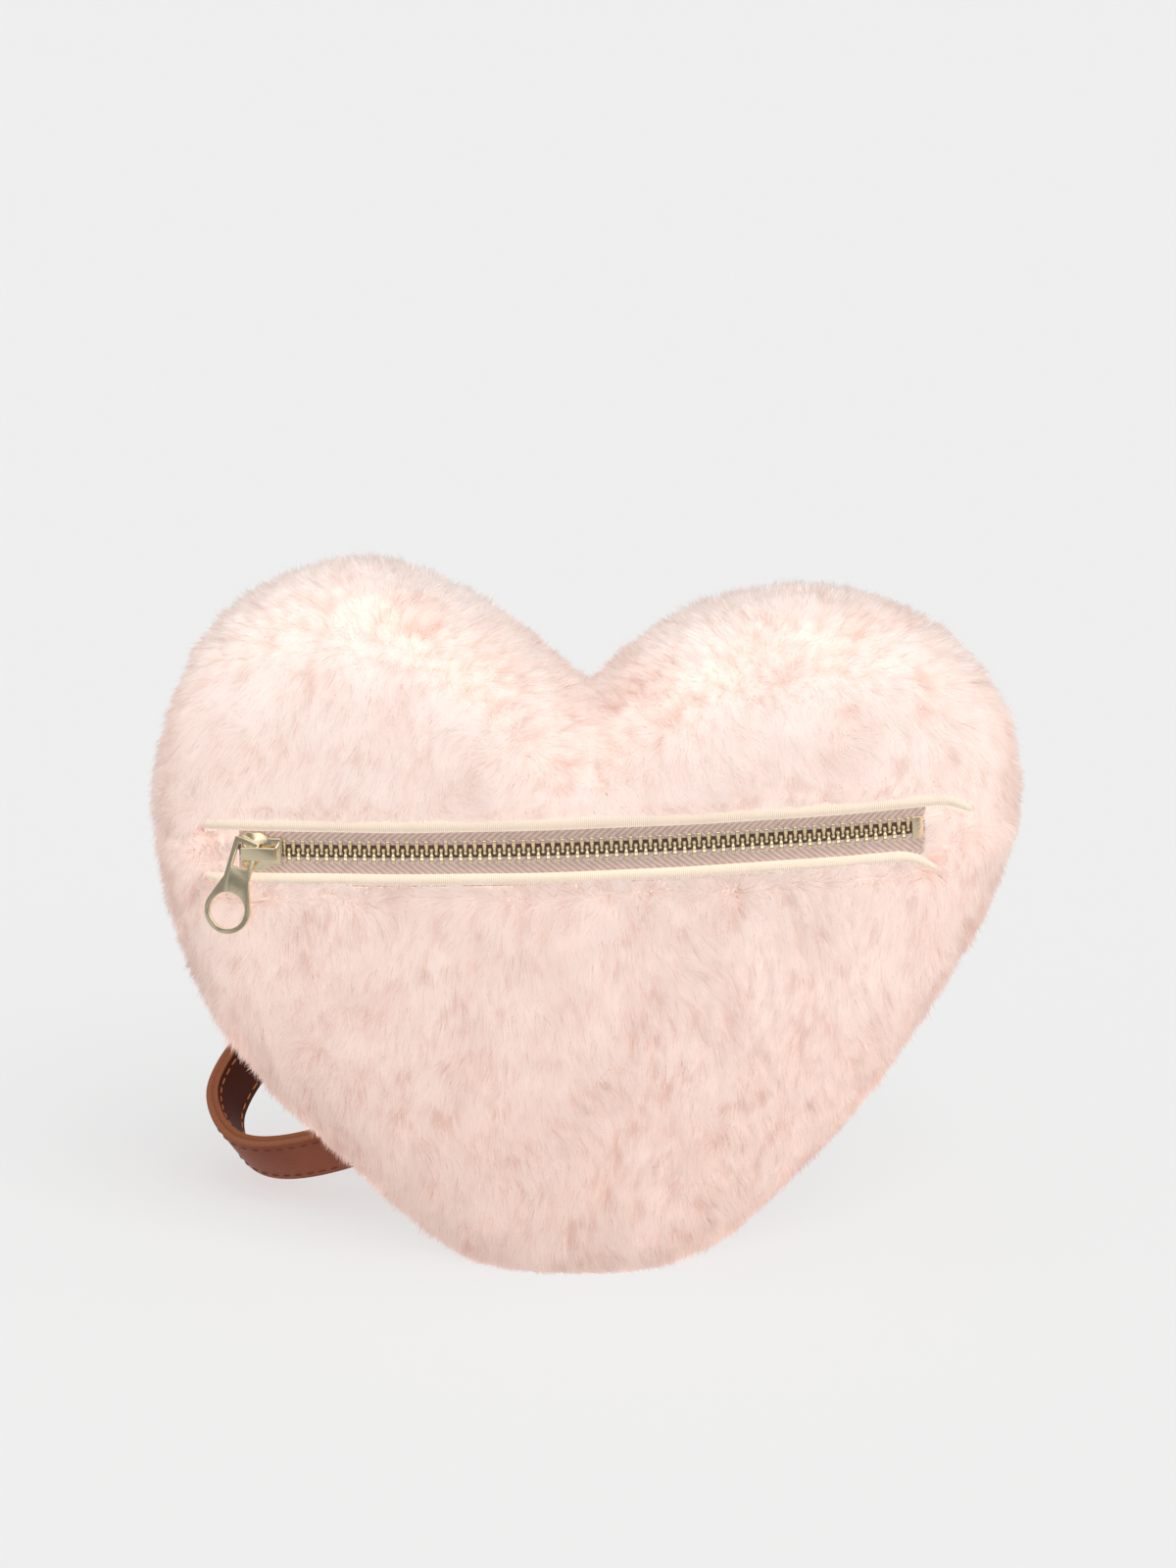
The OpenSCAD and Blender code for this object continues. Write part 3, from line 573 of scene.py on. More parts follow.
def closed_panel(name, panel, outer, inner, material, node, rows=PANEL_ROWS, half=0):
    """A panel with a thickness: its outer grid, its inner grid and the faces that join their
    borders."""
    a, side = panel_surface(panel, outer, rows, half)
    b, _ = panel_surface(panel, inner, rows, half)
    for grid in (a, b):
        grid[..., 1] += side * LAYER_GAP / 2
    count = a.shape[1]
    points = np.concatenate([a.reshape(-1, 3), b.reshape(-1, 3)])
    inside = rows * count
    faces = grid_faces(rows, count, wrap_columns=True)
    j = np.arange(count)
    k = (j + 1) % count
    last = (rows - 1) * count
    rim = np.stack([last + j, last + k, inside + last + k, inside + last + j], -1)
    hem = np.stack([k, j, inside + j, inside + k], -1)
    quads = np.concatenate([faces, faces[:, ::-1] + inside, rim, hem])
    quads = quads if side > 0 else quads[:, ::-1]
    return mended(add_mesh(name, points, quads=quads, material=material, node=node))


def mended(piece, limit=0.00002, crease=40):
    """Merges the doubles where spokes meet and drops the faces that had no area."""
    shape = bmesh.new()
    shape.from_mesh(piece.data)
    bmesh.ops.remove_doubles(shape, verts=shape.verts, dist=limit)
    bmesh.ops.dissolve_degenerate(shape, edges=shape.edges, dist=limit / 2)
    bmesh.ops.recalc_face_normals(shape, faces=shape.faces)
    shape.to_mesh(piece.data)
    shape.free()
    piece.data.polygons.foreach_set("use_smooth", np.ones(len(piece.data.polygons), bool))
    piece.data.set_sharp_from_angle(angle=math.radians(crease))
    return piece


FUR_ROOT_IN = 3.4
BLADE_POINTS, BLADE_HEIGHTS, PIECE_BLADES = 5, (0, 0, 0.55, 0.55, 1), 62000
# Fibres stand thicker where they lap over the tapes' ends, and under the notch.
LAP_REACH, LAP_TIMES = 3.5, 5
CREST_HALF_L, CREST_UP, CREST_TIMES = 36, 8, 2
MORE_LOOSE = 0.25
# Round the zip: how far along it and how far back the pile heeds it, how raggedly the tips lap over
# the piping, how far they lap over the tapes on the right, and how much they vary in depth
NEAR_ZIP, SEAM_Y, FRINGE, PIPING_BARE = 20, 20, (-0.2, 1.3), 0.2
LAP_LEAST, LAP_SPREAD, DEPTH_SPREAD, FLOOR_BARE = 0.6, 2.6, 0.5, 0.15
PULLER_BARE, PILE_FREE = 0.3, 12
# How far out the pile may stand: its slope below the puller's reach, its start and slope over the
# upper piping, and how far past the chain's ends, between or beside the piping, it stands free
UNDER_SLOPE, OVER_START, OVER_SLOPE = 0.9, 0.9, 1.1
FREE_BETWEEN, FREE_BESIDE, FREE_PAST_PULLER = 7, 14, 6
# The comb: waves of it by length, seed and strength, and how much a clump and a fibre stray from it
SWIRLS = ((30, 5, 0.45), (9, 6, 0.20))
CLUMP_STRAY, FIBRE_STRAY, OUTWARDS, FORWARDS = 0.22, 0.16, 0.15, 0.30
HEM_H, HEM_COMB, LAP_L, LAP_EASE, LAP_COMB = 6.0, 2.6, 7.0, 5.0, 3.0
# How much a fibre's lift and length vary: by wave length, seed and strength, by clump and by fibre
LIFT_WAVE, LIFT_CLUMP, LIFT_FIBRE = (14, 8, 0.12), 0.08, 0.10
UPRIGHT, SEAM_UPRIGHT, TOP_FROM, TOP_OVER = 1.25, 0.6, 0.25, 0.5
SIZE_WAVE, SIZE_CLUMP, SIZE_FIBRE = (11, 9, 0.05), 0.06, 0.07
# A blade's bend: how far along it and how high the elbow sits, and the pull of its clump
ELBOW_AT, ELBOW_RISE, ELBOW_RUN = 0.52, 0.22, 0.55
ELBOW_PULL, TIP_PULL, TIP_LOOSE = 0.10, 0.30, 0.30
CLUMP_FLATTER, CLUMP_REACH, SEAM_FADE = 1.5, 0.62, 14
# A blade's turn, its width by fibre and at the elbow, and how its shading leans off the normal: by
# its own face, by its clump and away from the clump's middle
BLADE_TURN, WIDTH_SPREAD, ELBOW_WIDTH = 0.5, (0.7, 1.3), 0.8
FACE_LEAN, CLUMP_LEAN, MIDDLE_LEAN = 0.30, 0.12, 0.30
# The painted shade in the hollows between clumps: its level, and waves in its depth and in the
# whole pile's tone
HOLLOW_LEVEL, HOLLOW_WAVE, TONE_WAVE = 0.60, (11, 21, 0.40), (26, 22, 0.10)


def roots_on(panel, density, rng):
    """Random roots on a panel: a triangle picked by its area, then a point of it from two random
    shares folded back into the triangle. Gives the roots and the outward normals."""
    grid, _ = panel_surface(panel, FUR_ROOT_IN)
    quads = grid_faces(grid.shape[0], grid.shape[1], wrap_columns=True)
    triangles = np.concatenate([quads[:, [0, 1, 2]], quads[:, [0, 2, 3]]])
    p = grid.reshape(-1, 3)
    a, b, c = (p[triangles[:, i]] for i in range(3))
    area = np.linalg.norm(np.cross(b - a, c - a), axis=1) / 2
    total = int(area.sum() * density)
    edges = np.cumsum(area) / area.sum()
    pick = np.minimum(np.searchsorted(edges, rng.uniform(size=total)), len(area) - 1)
    u, v = rng.uniform(size=(2, total, 1))
    fold = (u + v) > 1
    u, v = np.where(fold, 1 - u, u), np.where(fold, 1 - v, v)
    root = a[pick] + u * (b[pick] - a[pick]) + v * (c[pick] - a[pick])
    normals = grid_normals(grid).reshape(-1, 3)
    n = (normals[triangles[pick, 0]] * (1 - u - v) + normals[triangles[pick, 1]] * u
         + normals[triangles[pick, 2]] * v)
    return root, unit(n)


def grid_normals(grid):
    """Normals of a wrapped grid: the cross product of its two central differences, turned away from
    the heart's middle."""
    along = np.roll(grid, -1, 1) - np.roll(grid, 1, 1)
    n = np.cross(along, np.gradient(grid, axis=0))
    away = grid - stance((HEART_MID[0], 0.0, HEART_MID[1] * MIDDLE_SHARE))
    out = np.where(np.linalg.norm(n, axis=-1, keepdims=True) < 1e-9, unit(away), n)
    return unit(np.where(np.sum(out * away, -1, keepdims=True) < 0, -out, out))


def hashed(cell, seed):
    """A number from 0 to 1 for each cell of a lattice, from the sine of a mixed sum of its
    indices."""
    mixed = cell[..., 0] * 12.9898 + cell[..., 1] * 78.233 + cell[..., 2] * 37.719 + seed * 4.581
    value = np.sin(mixed) * 43758.5453
    return value - np.floor(value)


def clump_of(p, size):
    """The nearest of the jittered lattice points to each point, tried over its 27 cells: the
    clump's middle and three numbers of its own."""
    q = p / size
    home = np.floor(q)
    best = np.full(len(p), 1e9)
    middle = np.zeros_like(p)
    owner = np.zeros_like(p)
    for step in np.ndindex(3, 3, 3):
        cell = home + np.array(step) - 1
        spot = cell + np.stack([hashed(cell, s) for s in (1, 2, 3)], -1)
        away = np.sum((q - spot) ** 2, -1)
        near = away < best
        best = np.where(near, away, best)
        middle = np.where(near[:, None], spot, middle)
        owner = np.where(near[:, None], cell, owner)
    own = np.stack([hashed(owner, s) for s in (11, 12, 13)], -1)
    return middle * size, own * 2 - 1


def piping_height(along, z, ends):
    """Height of a piping strip's middle line over the zip's: level along the zip, then each end
    draws in with the square of the way along its turn."""
    start, stop, drop = (np.where(along < 0, left, right) for left, right in zip(*ends))
    past = np.clip((np.abs(along) - start) / (stop - start), 0, 1.2)
    return z - past ** 2 * drop


def within(along, ends, margin=0.0):
    """Whether each place along the zip lies between a piping strip's two ends."""
    return (along > -ends[0][1] - margin) & (along < ends[1][1] + margin)


def pressed(p, zone, rng):
    """Keeps the pile below the slider and the puller's sweep, off the tapes and piping, and above
    the floor. The zone says which side of the piping a fibre is rooted: 1 above, -1 below, 0
    between."""
    along, out, up = zip_coords(p)
    near = (np.abs(along) < ZIP_HALF + NEAR_ZIP) & (p[:, 1] < SEAM_Y)
    fringe = rng.uniform(*FRINGE, len(p))
    high = piping_height(along, PIPING_UPPER_Z, UPPER_ENDS)
    low = -piping_height(along, PIPING_LOWER_Z, LOWER_ENDS)
    at_high, at_low = near & within(along, UPPER_ENDS, -1), near & within(along, LOWER_ENDS, -1)
    over, under = PIPING_UPPER_D / 2, PIPING_LOWER_D / 2
    up = np.where(at_high & (zone > 0), np.maximum(up, high + over + PIPING_BARE - fringe), up)
    up = np.where(at_low & (zone < 0), np.minimum(up, low - under - PIPING_BARE + fringe), up)
    up = np.where(at_high & (zone == 0), np.minimum(up, high - over + fringe * 0.5), up)
    up = np.where(at_low & (zone == 0), np.maximum(up, low + under - fringe * 0.5), up)
    lap = np.where(along > 0, LAP_LEAST + LAP_SPREAD * rng.uniform(0, 1, len(p)), fringe * 0.8)
    end = np.sign(along) * np.maximum(np.abs(along), MOUTH_HALF_L - lap)
    along = np.where(near & (zone == 0), end, along)
    limit = pile_limit(along, up, zone) - rng.uniform(0, DEPTH_SPREAD, len(p))
    out = np.where(near, np.minimum(out, limit), out)
    q = np.where(near[:, None], zip_place(along, out, up), p)
    q[:, 2] = np.maximum(q[:, 2], FLOOR_BARE + rng.uniform(0, DEPTH_SPREAD, len(p)))
    return q


def pile_limit(along, up, zone):
    """How far out the pile may stand: under the puller's back, which draws away downwards by the
    sine of its lift; over the upper piping; and free past the zip's ends, save within the puller's
    reach."""
    lean = math.sin(math.radians(PULLER_LIFT))
    back = PULLER_BACK - PULLER_BARE + np.clip(-up, 0, PULLER_REACH) * lean
    back = back + np.maximum(-up - PULLER_REACH, 0) * UNDER_SLOPE
    back = np.where(zone == 0, np.minimum(back, PLATE_OUT + PULLER_BARE), back)
    over = PIPING_UPPER_D + OVER_START + np.maximum(up - SLOT_UP, 0) * OVER_SLOPE
    limit = np.where(zone > 0, over, back)
    beyond = np.hypot(along + SLIDER_PIVOT, up) - PULLER_REACH
    held = (along < 0) & (up < SLOT_LOW / 2)
    past = (np.abs(along) - CHAIN_L / 2) / np.where(zone == 0, FREE_BETWEEN, FREE_BESIDE)
    free = ease(np.where(held, np.maximum(beyond, 0) / FREE_PAST_PULLER, past))
    return limit + PILE_FREE * free


def zones_of(root):
    """Which side of the piping each root is on, and whether it stands clear of the piping."""
    along, _, up = zip_coords(root)
    high = piping_height(along, PIPING_UPPER_Z, UPPER_ENDS)
    low = -piping_height(along, PIPING_LOWER_Z, LOWER_ENDS)
    zone = np.where(up > high, 1, np.where(up < low, -1, 0))
    covered = (np.abs(along) < MOUTH_HALF_L + LAYER_GAP) & (zone == 0)
    for middle, d, ends in ((high, PIPING_UPPER_D, UPPER_ENDS), (low, PIPING_LOWER_D, LOWER_ENDS)):
        covered |= within(along, ends) & (np.abs(up - middle) < d / 2 + PIPING_BARE)
    return zone, (root[:, 1] > SEAM_Y) | ~covered


class PURSE_OT_pile(PieceOperator):
    """Plants the fur's pile, a few pieces to each panel"""

    bl_idname = "purse.pile"
    bl_label = "Fur pile"

    def build(self, settings):
        """Each fibre is a blade of five points along a bent line: it leaves the backing along its
        normal and bends over towards the comb's direction, and its tip is drawn to its clump."""
        material = fur_material(settings)
        for seed, (panel, density) in enumerate((("upper", settings.front_density),
                                                 ("lower", settings.front_density),
                                                 ("back", settings.back_density))):
            rng = np.random.default_rng(100 + seed)
            root, normal, zone = self.planted(panel, density, rng)
            blades, faced, speck, hollow_shade_and_tone = self.blades(settings, panel, root, normal, zone, rng)
            order = np.argsort(root[:, 0], kind="stable")
            parts = np.array_split(order, -(-len(root) // PIECE_BLADES))
            for place, part in enumerate(parts, 1):
                first = np.arange(len(part))[:, None] * BLADE_POINTS
                tones = {"height": np.tile(BLADE_HEIGHTS, len(part)),
                         "speck": np.repeat(speck[part], BLADE_POINTS),
                         "hollow_shade_and_tone": np.repeat(hollow_shade_and_tone[part], BLADE_POINTS)}
                tuft = add_mesh(f"pile_{panel}_{place}", blades[part], quads=first + (0, 1, 3, 2),
                                triangles=first + (2, 3, 4), material=material,
                                tones=tones, normals=np.repeat(faced[part], BLADE_POINTS, axis=0))
                # Fine pale fibres hardly shade one another: the panel under them casts the shadow.
                tuft.visible_shadow = False
                tuft.visible_diffuse = False

    def planted(self, panel, density, rng):
        """The roots that stand clear of the zip, with more where the pile is thicker, each with its
        normal and its zone."""
        root, normal = roots_on(panel, density, rng)
        zone, clear = zones_of(root)
        along, _, up = zip_coords(root)
        along = np.abs(along)
        lap = clear & (zone == 0) & (along < MOUTH_HALF_L + LAP_REACH) & (panel != "back")
        crest = (clear & (zone > 0) & (along < CREST_HALF_L) & (up < SLOT_UP + CREST_UP)
                 & (panel == "upper"))
        more = np.concatenate([np.flatnonzero(lap).repeat(LAP_TIMES),
                               np.flatnonzero(crest).repeat(CREST_TIMES)])
        moved = root[more] + rng.normal(0, MORE_LOOSE, (len(more), 3)) * (1, 0, 1)
        normal, zone = (np.concatenate([v[clear], v[more]]) for v in (normal, zone))
        return np.concatenate([root[clear], moved]), normal, zone

    def blades(self, settings, panel, root, normal, zone, rng):
        """The five points of every blade, its normal, a number of its own and how much painted
        shade it takes where it stands in the hollows between clumps, with slow waves of tone added."""
        count = len(root)
        clump = settings.clump_size / MM
        # The lattice is finer along Z, so that clumps are wider than they are tall.
        finer = np.array([1.0, 1.0, CLUMP_FLATTER])
        middle, own = clump_of(root * finer, clump)
        middle = middle / finer
        swirl = sum(waves(root, length, seed, 3) * strength for length, seed, strength in SWIRLS)
        comb = (self.comb_level(panel, root) + swirl + own * CLUMP_STRAY
                + rng.normal(0, FIBRE_STRAY, (count, 3)))
        comb = self.comb_by_zip(panel, root, zone, comb)
        comb = unit(comb - normal * np.sum(comb * normal, -1, keepdims=True))
        lift = (settings.pile_lift + waves(root, *LIFT_WAVE[:2]) * LIFT_WAVE[2]
                + own[:, 0] * LIFT_CLUMP + rng.normal(0, LIFT_FIBRE, count))
        # Fibres stand up on the heart's top and on the seam.
        top = (normal[:, 2] - TOP_FROM) / TOP_OVER
        upright = np.maximum(top, near_seam(root) * SEAM_UPRIGHT)
        lift = mix(lift, UPRIGHT, ease(upright))
        size = settings.pile_length / MM * (
            1 + SIZE_CLUMP * own[:, 1] + SIZE_WAVE[2] * waves(root, *SIZE_WAVE[:2])
            + rng.normal(0, SIZE_FIBRE, count))[:, None]
        rise, run = np.sin(lift)[:, None], np.cos(lift)[:, None]
        bent = normal * (rise + ELBOW_RISE) + comb * run * ELBOW_RUN
        elbow = root + size * ELBOW_AT * bent
        tip = root + size * (normal * rise + comb * run)
        pull = middle - root
        pull -= normal * np.sum(pull * normal, -1, keepdims=True)
        elbow += pull * ELBOW_PULL
        tip += pull * TIP_PULL + rng.normal(0, TIP_LOOSE, (count, 3))
        elbow, tip = pressed(elbow, zone, rng), pressed(tip, zone, rng)
        face = unit(np.cross(elbow - root, normal) + rng.normal(0, BLADE_TURN, (count, 3)))
        flat = unit(np.cross(face, tip - root))
        side = np.where(np.sum(flat * normal, -1, keepdims=True) < 0, -1.0, 1.0)
        face, flat = face * side, flat * side
        across = face * (settings.pile_width / MM / 2) * rng.uniform(*WIDTH_SPREAD, (count, 1))
        bend = across * ELBOW_WIDTH
        blades = np.stack([root - across, root + across, elbow - bend, elbow + bend, tip], 1)
        # Painted shade: the farther a fibre stands from its clump's middle, the darker it is
        # painted, as the clumps around it would shade it.
        from_middle = pull / (clump * CLUMP_REACH)
        hollow_shade_and_tone = np.clip(np.linalg.norm(from_middle, axis=1), 0, 1)
        depth, tone = (waves(root, *wave[:2]) * wave[2] for wave in (HOLLOW_WAVE, TONE_WAVE))
        hollow_shade_and_tone = hollow_shade_and_tone ** 2 * (HOLLOW_LEVEL + depth) + tone
        faced = unit(normal + FACE_LEAN * flat + CLUMP_LEAN * own - MIDDLE_LEAN * from_middle)
        return blades, faced, rng.uniform(0, 1, count), np.clip(hollow_shade_and_tone, 0, 1)

    def comb_level(self, panel, root):
        """Direction that the pile lies in: down, and a little outwards from the heart's middle."""
        away = root - stance((HEART_MID[0], 0.0, HEART_MID[1]))
        away[:, 1] = 0
        level = np.zeros_like(root) + (0, FORWARDS if panel == "back" else -FORWARDS, -1.0)
        level[:, 1] *= 1 - near_seam(root)
        return level + unit(away) * OUTWARDS

    def comb_by_zip(self, panel, root, zone, comb):
        """The first rows under the zip stand up against the piping and lap over its edge. Past the
        zip's ends they lap over the tapes."""
        if panel == "back":
            return comb
        along, _, up = zip_coords(root)
        hem = ease((HEM_H + SLOT_LOW + up) / HEM_H) * (zone < 0) * within(along, LOWER_ENDS)
        comb[:, 2] += HEM_COMB * hem
        lap = ease((MOUTH_HALF_L + LAP_L - np.abs(along)) / LAP_EASE) * (zone == 0)
        comb[:, 0] -= LAP_COMB * lap * np.sign(along)
        return comb


def near_seam(root):
    """1 on the seam between front and back, falling to 0 over the seam's fade."""
    return ease(1 - np.abs(turned(root - TO_FLOOR, LEAN, "x")[:, 1]) / SEAM_FADE)


def fur_material(settings):
    """Cream above and pinker below, with painted shade towards the roots and in the hollows between
    clumps, and faint patches. It is matt: a gloss layer would blacken the fibres whose normal leans
    away from the eye."""
    look = Surface("plush_fur", settings.fur_light, 1.0, specular=0.0)
    place = look.place()
    low = look.node("MapRange", Value=look.apart(place)["Z"])
    low.inputs["From Min"].default_value = 0.185
    low.inputs["From Max"].default_value = 0.030
    patch = look.number("SUBTRACT", look.noise(55, 3, source=place), 0.5)
    share = look.number("ADD", low.outputs[0], look.number("MULTIPLY", patch, 0.5))
    pinkness = look.ramp(share, (0.0, 0.0), (0.22, 0.5), (0.55, 0.75), (1.0, 1.0))
    body = look.mix(pinkness, settings.fur_light, settings.fur_pink)
    # Painted shade: each fibre darkens towards its root, where the pile around it would shade it.
    depth = look.ramp(look.told("height"), (0.0, (0.88, 0.79, 0.74)), (0.5, (0.97, 0.94, 0.92)),
                      (1.0, 1.0))
    grain = look.ramp(look.told("speck"), (0.0, (0.80, 0.72, 0.68)), (0.12, 0.93), (1.0, 1.0))
    # Painted shade in the hollows between clumps, deeper and pinker where the fur is pink; the
    # pile's slow tone waves ride on it.
    hollow_shade_and_tone = look.told("hollow_shade_and_tone")
    painted_hollow_shade = look.mix(pinkness, look.ramp(hollow_shade_and_tone, (0.0, 1.0), (0.9, (0.93, 0.86, 0.84))),
                   look.ramp(hollow_shade_and_tone, (0.0, 1.0), (0.9, (0.85, 0.73, 0.70))))
    colour = look.times(look.times(look.times(body, depth), painted_hollow_shade), grain)
    look.colour(colour)
    # A fibre has no back: its normal stays the skin's own, also where it is seen from behind.
    seen = look.node("NewGeometry").outputs
    sign = look.number("SUBTRACT", 1.0, look.number("MULTIPLY", seen["Backfacing"], 2.0))
    kept = look.node("VectorMath", operation="SCALE", Scale=sign)
    look.feed(kept.inputs[0], seen["Normal"])
    look.feed(look.inputs["Normal"], kept.outputs[0])
    # A little light passes through it.
    other_way = look.node("VectorMath", operation="SCALE", Scale=-1.0)
    look.feed(other_way.inputs[0], kept.outputs[0])
    through = look.node("BsdfTranslucent", Color=colour, Normal=other_way.outputs[0])
    both = look.node("MixShader", Fac=0.5)
    look.feed(both.inputs[1], look.tree.nodes["Principled BSDF"].outputs[0])
    look.feed(both.inputs[2], through.outputs[0])
    look.feed(look.tree.nodes["Material Output"].inputs["Surface"], both.outputs[0])
    return look.material


class PURSE_OT_panels(PieceOperator):
    """Shapes the three padded fur panels that the pile stands on"""

    bl_idname = "purse.panels"
    bl_label = "Fur panels"

    def build(self, settings):
        """Each panel is a closed shell under the pile, from the roots in to the wadding."""
        pink = settings.fur_pink
        look = Surface("fur_backing", pink, 0.95, sheen=0.3, specular=0.1)
        grain = look.noise(1400, 2)
        cloth = look.mix(grain, shaded(pink, 0.86), pink)
        # The pile over it keeps most of the light that it would throw on the floor.
        thrown = look.node("LightPath").outputs["Is Diffuse Ray"]
        look.colour(look.mix(thrown, cloth, shaded(pink, 0.34)))
        look.bump(grain, 0.6, 0.0004)
        for panel, node in (("upper", "front_upper_panel"), ("lower", "front_lower_panel"),
                            ("back", "back_panel")):
            piece = closed_panel(f"fur_{panel}_panel", panel, FUR_ROOT_IN, FUR_T, look.material,
                                 node)


def end_caps(rows, columns, start=0):
    """The two many sided ends of a tube as fans of triangles round their first point."""
    k = np.arange(1, columns - 1)
    first = np.stack([np.zeros_like(k), k + 1, k], -1)
    last = np.stack([np.zeros_like(k), k, k + 1], -1) + (rows - 1) * columns
    return np.concatenate([first, last]) + start


def rounded_box(half_w, half_h, radius, corner=3):
    """Points round a rectangle whose corners are quarter circles, anticlockwise."""
    t = np.linspace(0, math.pi / 2, corner + 1)
    x, y = np.cos(t) * radius, np.sin(t) * radius
    w, h = half_w - radius, half_h - radius
    return np.concatenate([np.stack(quarter, -1) for quarter in (
        (x + w, y + h), (-y - w, x + h), (-x - w, -y - h), (y + w, -x - h))])


PIPING_ROWS, PIPING_COLUMNS, PIPING_SINK = 560, 28, 1.3
# A piping strip's taper, as shares of its section by powers of the way past the zip, the least that
# is left of it, and the heights and lengths of its two slow waves
PIPING_SLIM, PIPING_LEAST = ((0.55, 2), (0.40, 8)), 0.02
PIPING_WAVES = ((0.08, 17), (0.05, 6.1))
RIB_LENGTH = 0.00050


class PURSE_OT_piping(PieceOperator):
    """Lays the two ribbed piping strips along the zip"""

    bl_idname = "purse.piping"
    bl_label = "Piping"

    def build(self, settings):
        """A round cord in ribbed cloth: a circle along the zip's arc, slimmer and deeper at its
        ends, with the fine ribs standing on it as a sine of the length."""
        colour = settings.piping_colour
        look = Surface("ribbed_cloth", colour, 0.72, sheen=0.35, specular=0.3)
        look.inputs["Sheen Roughness"].default_value = 0.5
        ribs = look.wave(look.apart(look.node("UVMap", uv_map="UVMap").outputs[0])[0], RIB_LENGTH)
        ribs = look.number("ADD", look.number("MULTIPLY", ribs, 0.5), 0.5)
        cloth = look.mix(look.noise(160, 3), shaded(colour, 0.95), shaded(colour, 1.04))
        # Painted shade: the grooves between the ribs are darker.
        look.colour(look.times(cloth, look.ramp(ribs, (0.0, (0.84, 0.76, 0.66)), (0.6, 1.0))))
        look.bump(ribs, 0.7, 0.00012)
        angle = np.linspace(0, TURN, PIPING_COLUMNS, endpoint=False)
        faces = grid_faces(PIPING_ROWS, PIPING_COLUMNS, wrap_columns=True)
        caps = end_caps(PIPING_ROWS, PIPING_COLUMNS)
        for name, node, z, d, sign, ends in (
                ("upper_piping", "piping_upper", PIPING_UPPER_Z, PIPING_UPPER_D, 1, UPPER_ENDS),
                ("lower_piping", "piping_lower", PIPING_LOWER_Z, PIPING_LOWER_D, -1, LOWER_ENDS)):
            along = np.linspace(-ends[0][1], ends[1][1], PIPING_ROWS)
            left = np.minimum(along + ends[0][1], ends[1][1] - along)
            past = np.maximum(0, PIPING_TAPER - left) / PIPING_TAPER
            (a, m), (b, n) = PIPING_SLIM
            slim = np.sqrt(np.clip(1.0 - a * past ** m - b * past ** n, PIPING_LEAST, 1))
            r = (d / 2 * slim)[:, None]
            (a, m), (b, n) = PIPING_WAVES
            wobble = a * np.sin(along / m + sign) + b * np.sin(along / n)
            up = (sign * piping_height(along, z, ends) + wobble)[:, None] + r * np.sin(angle)
            seat = TAPE_T / 2 + LAYER_GAP + d / 2 - PIPING_SINK * past ** 2
            out = seat[:, None] + r * np.cos(angle)
            uv = np.stack(np.broadcast_arrays(along[:, None] * MM, angle * d / 2 * MM), -1)
            add_mesh(name, zip_place(along[:, None], out, up), quads=faces[:, ::-1],
                     triangles=caps[:, ::-1], material=look.material, uv=uv,
                     node=node)


TAPE_ROWS, TAPE_DRAWN_OVER, TAPES_APART, TAPE_ROUND = 200, 1.8, 0.06, 0.3
ZIGZAG_H, TWILL_SLANT, TWILL_LENGTH, THREAD_LENGTH = 0.0031, 1.3, 0.0019, 0.00042


class PURSE_OT_tapes(PieceOperator):
    """Weaves the zip's two herringbone tapes"""

    bl_idname = "purse.tapes"
    bl_label = "Zip tapes"

    def build(self, settings):
        """A flat band along the zip's arc with round edges; past the stops the two bands' inner
        edges draw together. Their twill is a sine of the length shifted by a zigzag of the height,
        so that the diagonals turn back every few millimetres."""
        look = Surface("herringbone_tape", settings.tape_colour, 0.8, sheen=0.2, specular=0.25)
        length, height = look.apart(look.node("UVMap", uv_map="UVMap").outputs[0])[:2]
        zigzag = look.number("PINGPONG", height, ZIGZAG_H)
        slid = look.number("ADD", length, look.number("MULTIPLY", zigzag, TWILL_SLANT))
        twill = look.number("MULTIPLY", look.wave(slid, TWILL_LENGTH), 0.34)
        threads = look.number("MULTIPLY", look.wave(height, THREAD_LENGTH), 0.12)
        weave = look.number("ADD", twill, look.number("ADD", threads, 0.5))
        # Painted shade: the troughs of the twill and of the threads are darker.
        cloth = look.times(settings.tape_colour,
                           look.ramp(weave, (0.1, (0.70, 0.65, 0.63)), (0.8, 1.0)))
        fibres = look.ramp(look.noise(900, 2), (0.3, 0.88), (0.7, 1.06))
        look.colour(look.times(cloth, fibres))
        look.bump(weave, 0.8, 0.00016)
        section = rounded_box(TAPE_H / 2, TAPE_T / 2, TAPE_ROUND)
        along = np.linspace(-ZIP_HALF, ZIP_HALF, TAPE_ROWS)[:, None]
        past = ease((np.abs(along) - CHAIN_L / 2) / TAPE_DRAWN_OVER)
        drawn = past * (TAPE_EDGE - TAPES_APART)
        height = TAPE_EDGE + TAPE_H / 2 + section[:, 0] - drawn * (0.5 - section[:, 0] / TAPE_H)
        faces = grid_faces(TAPE_ROWS, len(section), wrap_columns=True)
        caps = end_caps(TAPE_ROWS, len(section))
        uv = np.stack(np.broadcast_arrays(along * MM, height * MM), -1)
        for name, node, sign in (("upper_tape", "zip_tape_upper", 1),
                                 ("lower_tape", "zip_tape_lower", -1)):
            add_mesh(name, zip_place(along, section[:, 1], sign * height), quads=faces[:, ::sign],
                     triangles=caps[:, ::sign], material=look.material, uv=uv,
                     node=node)


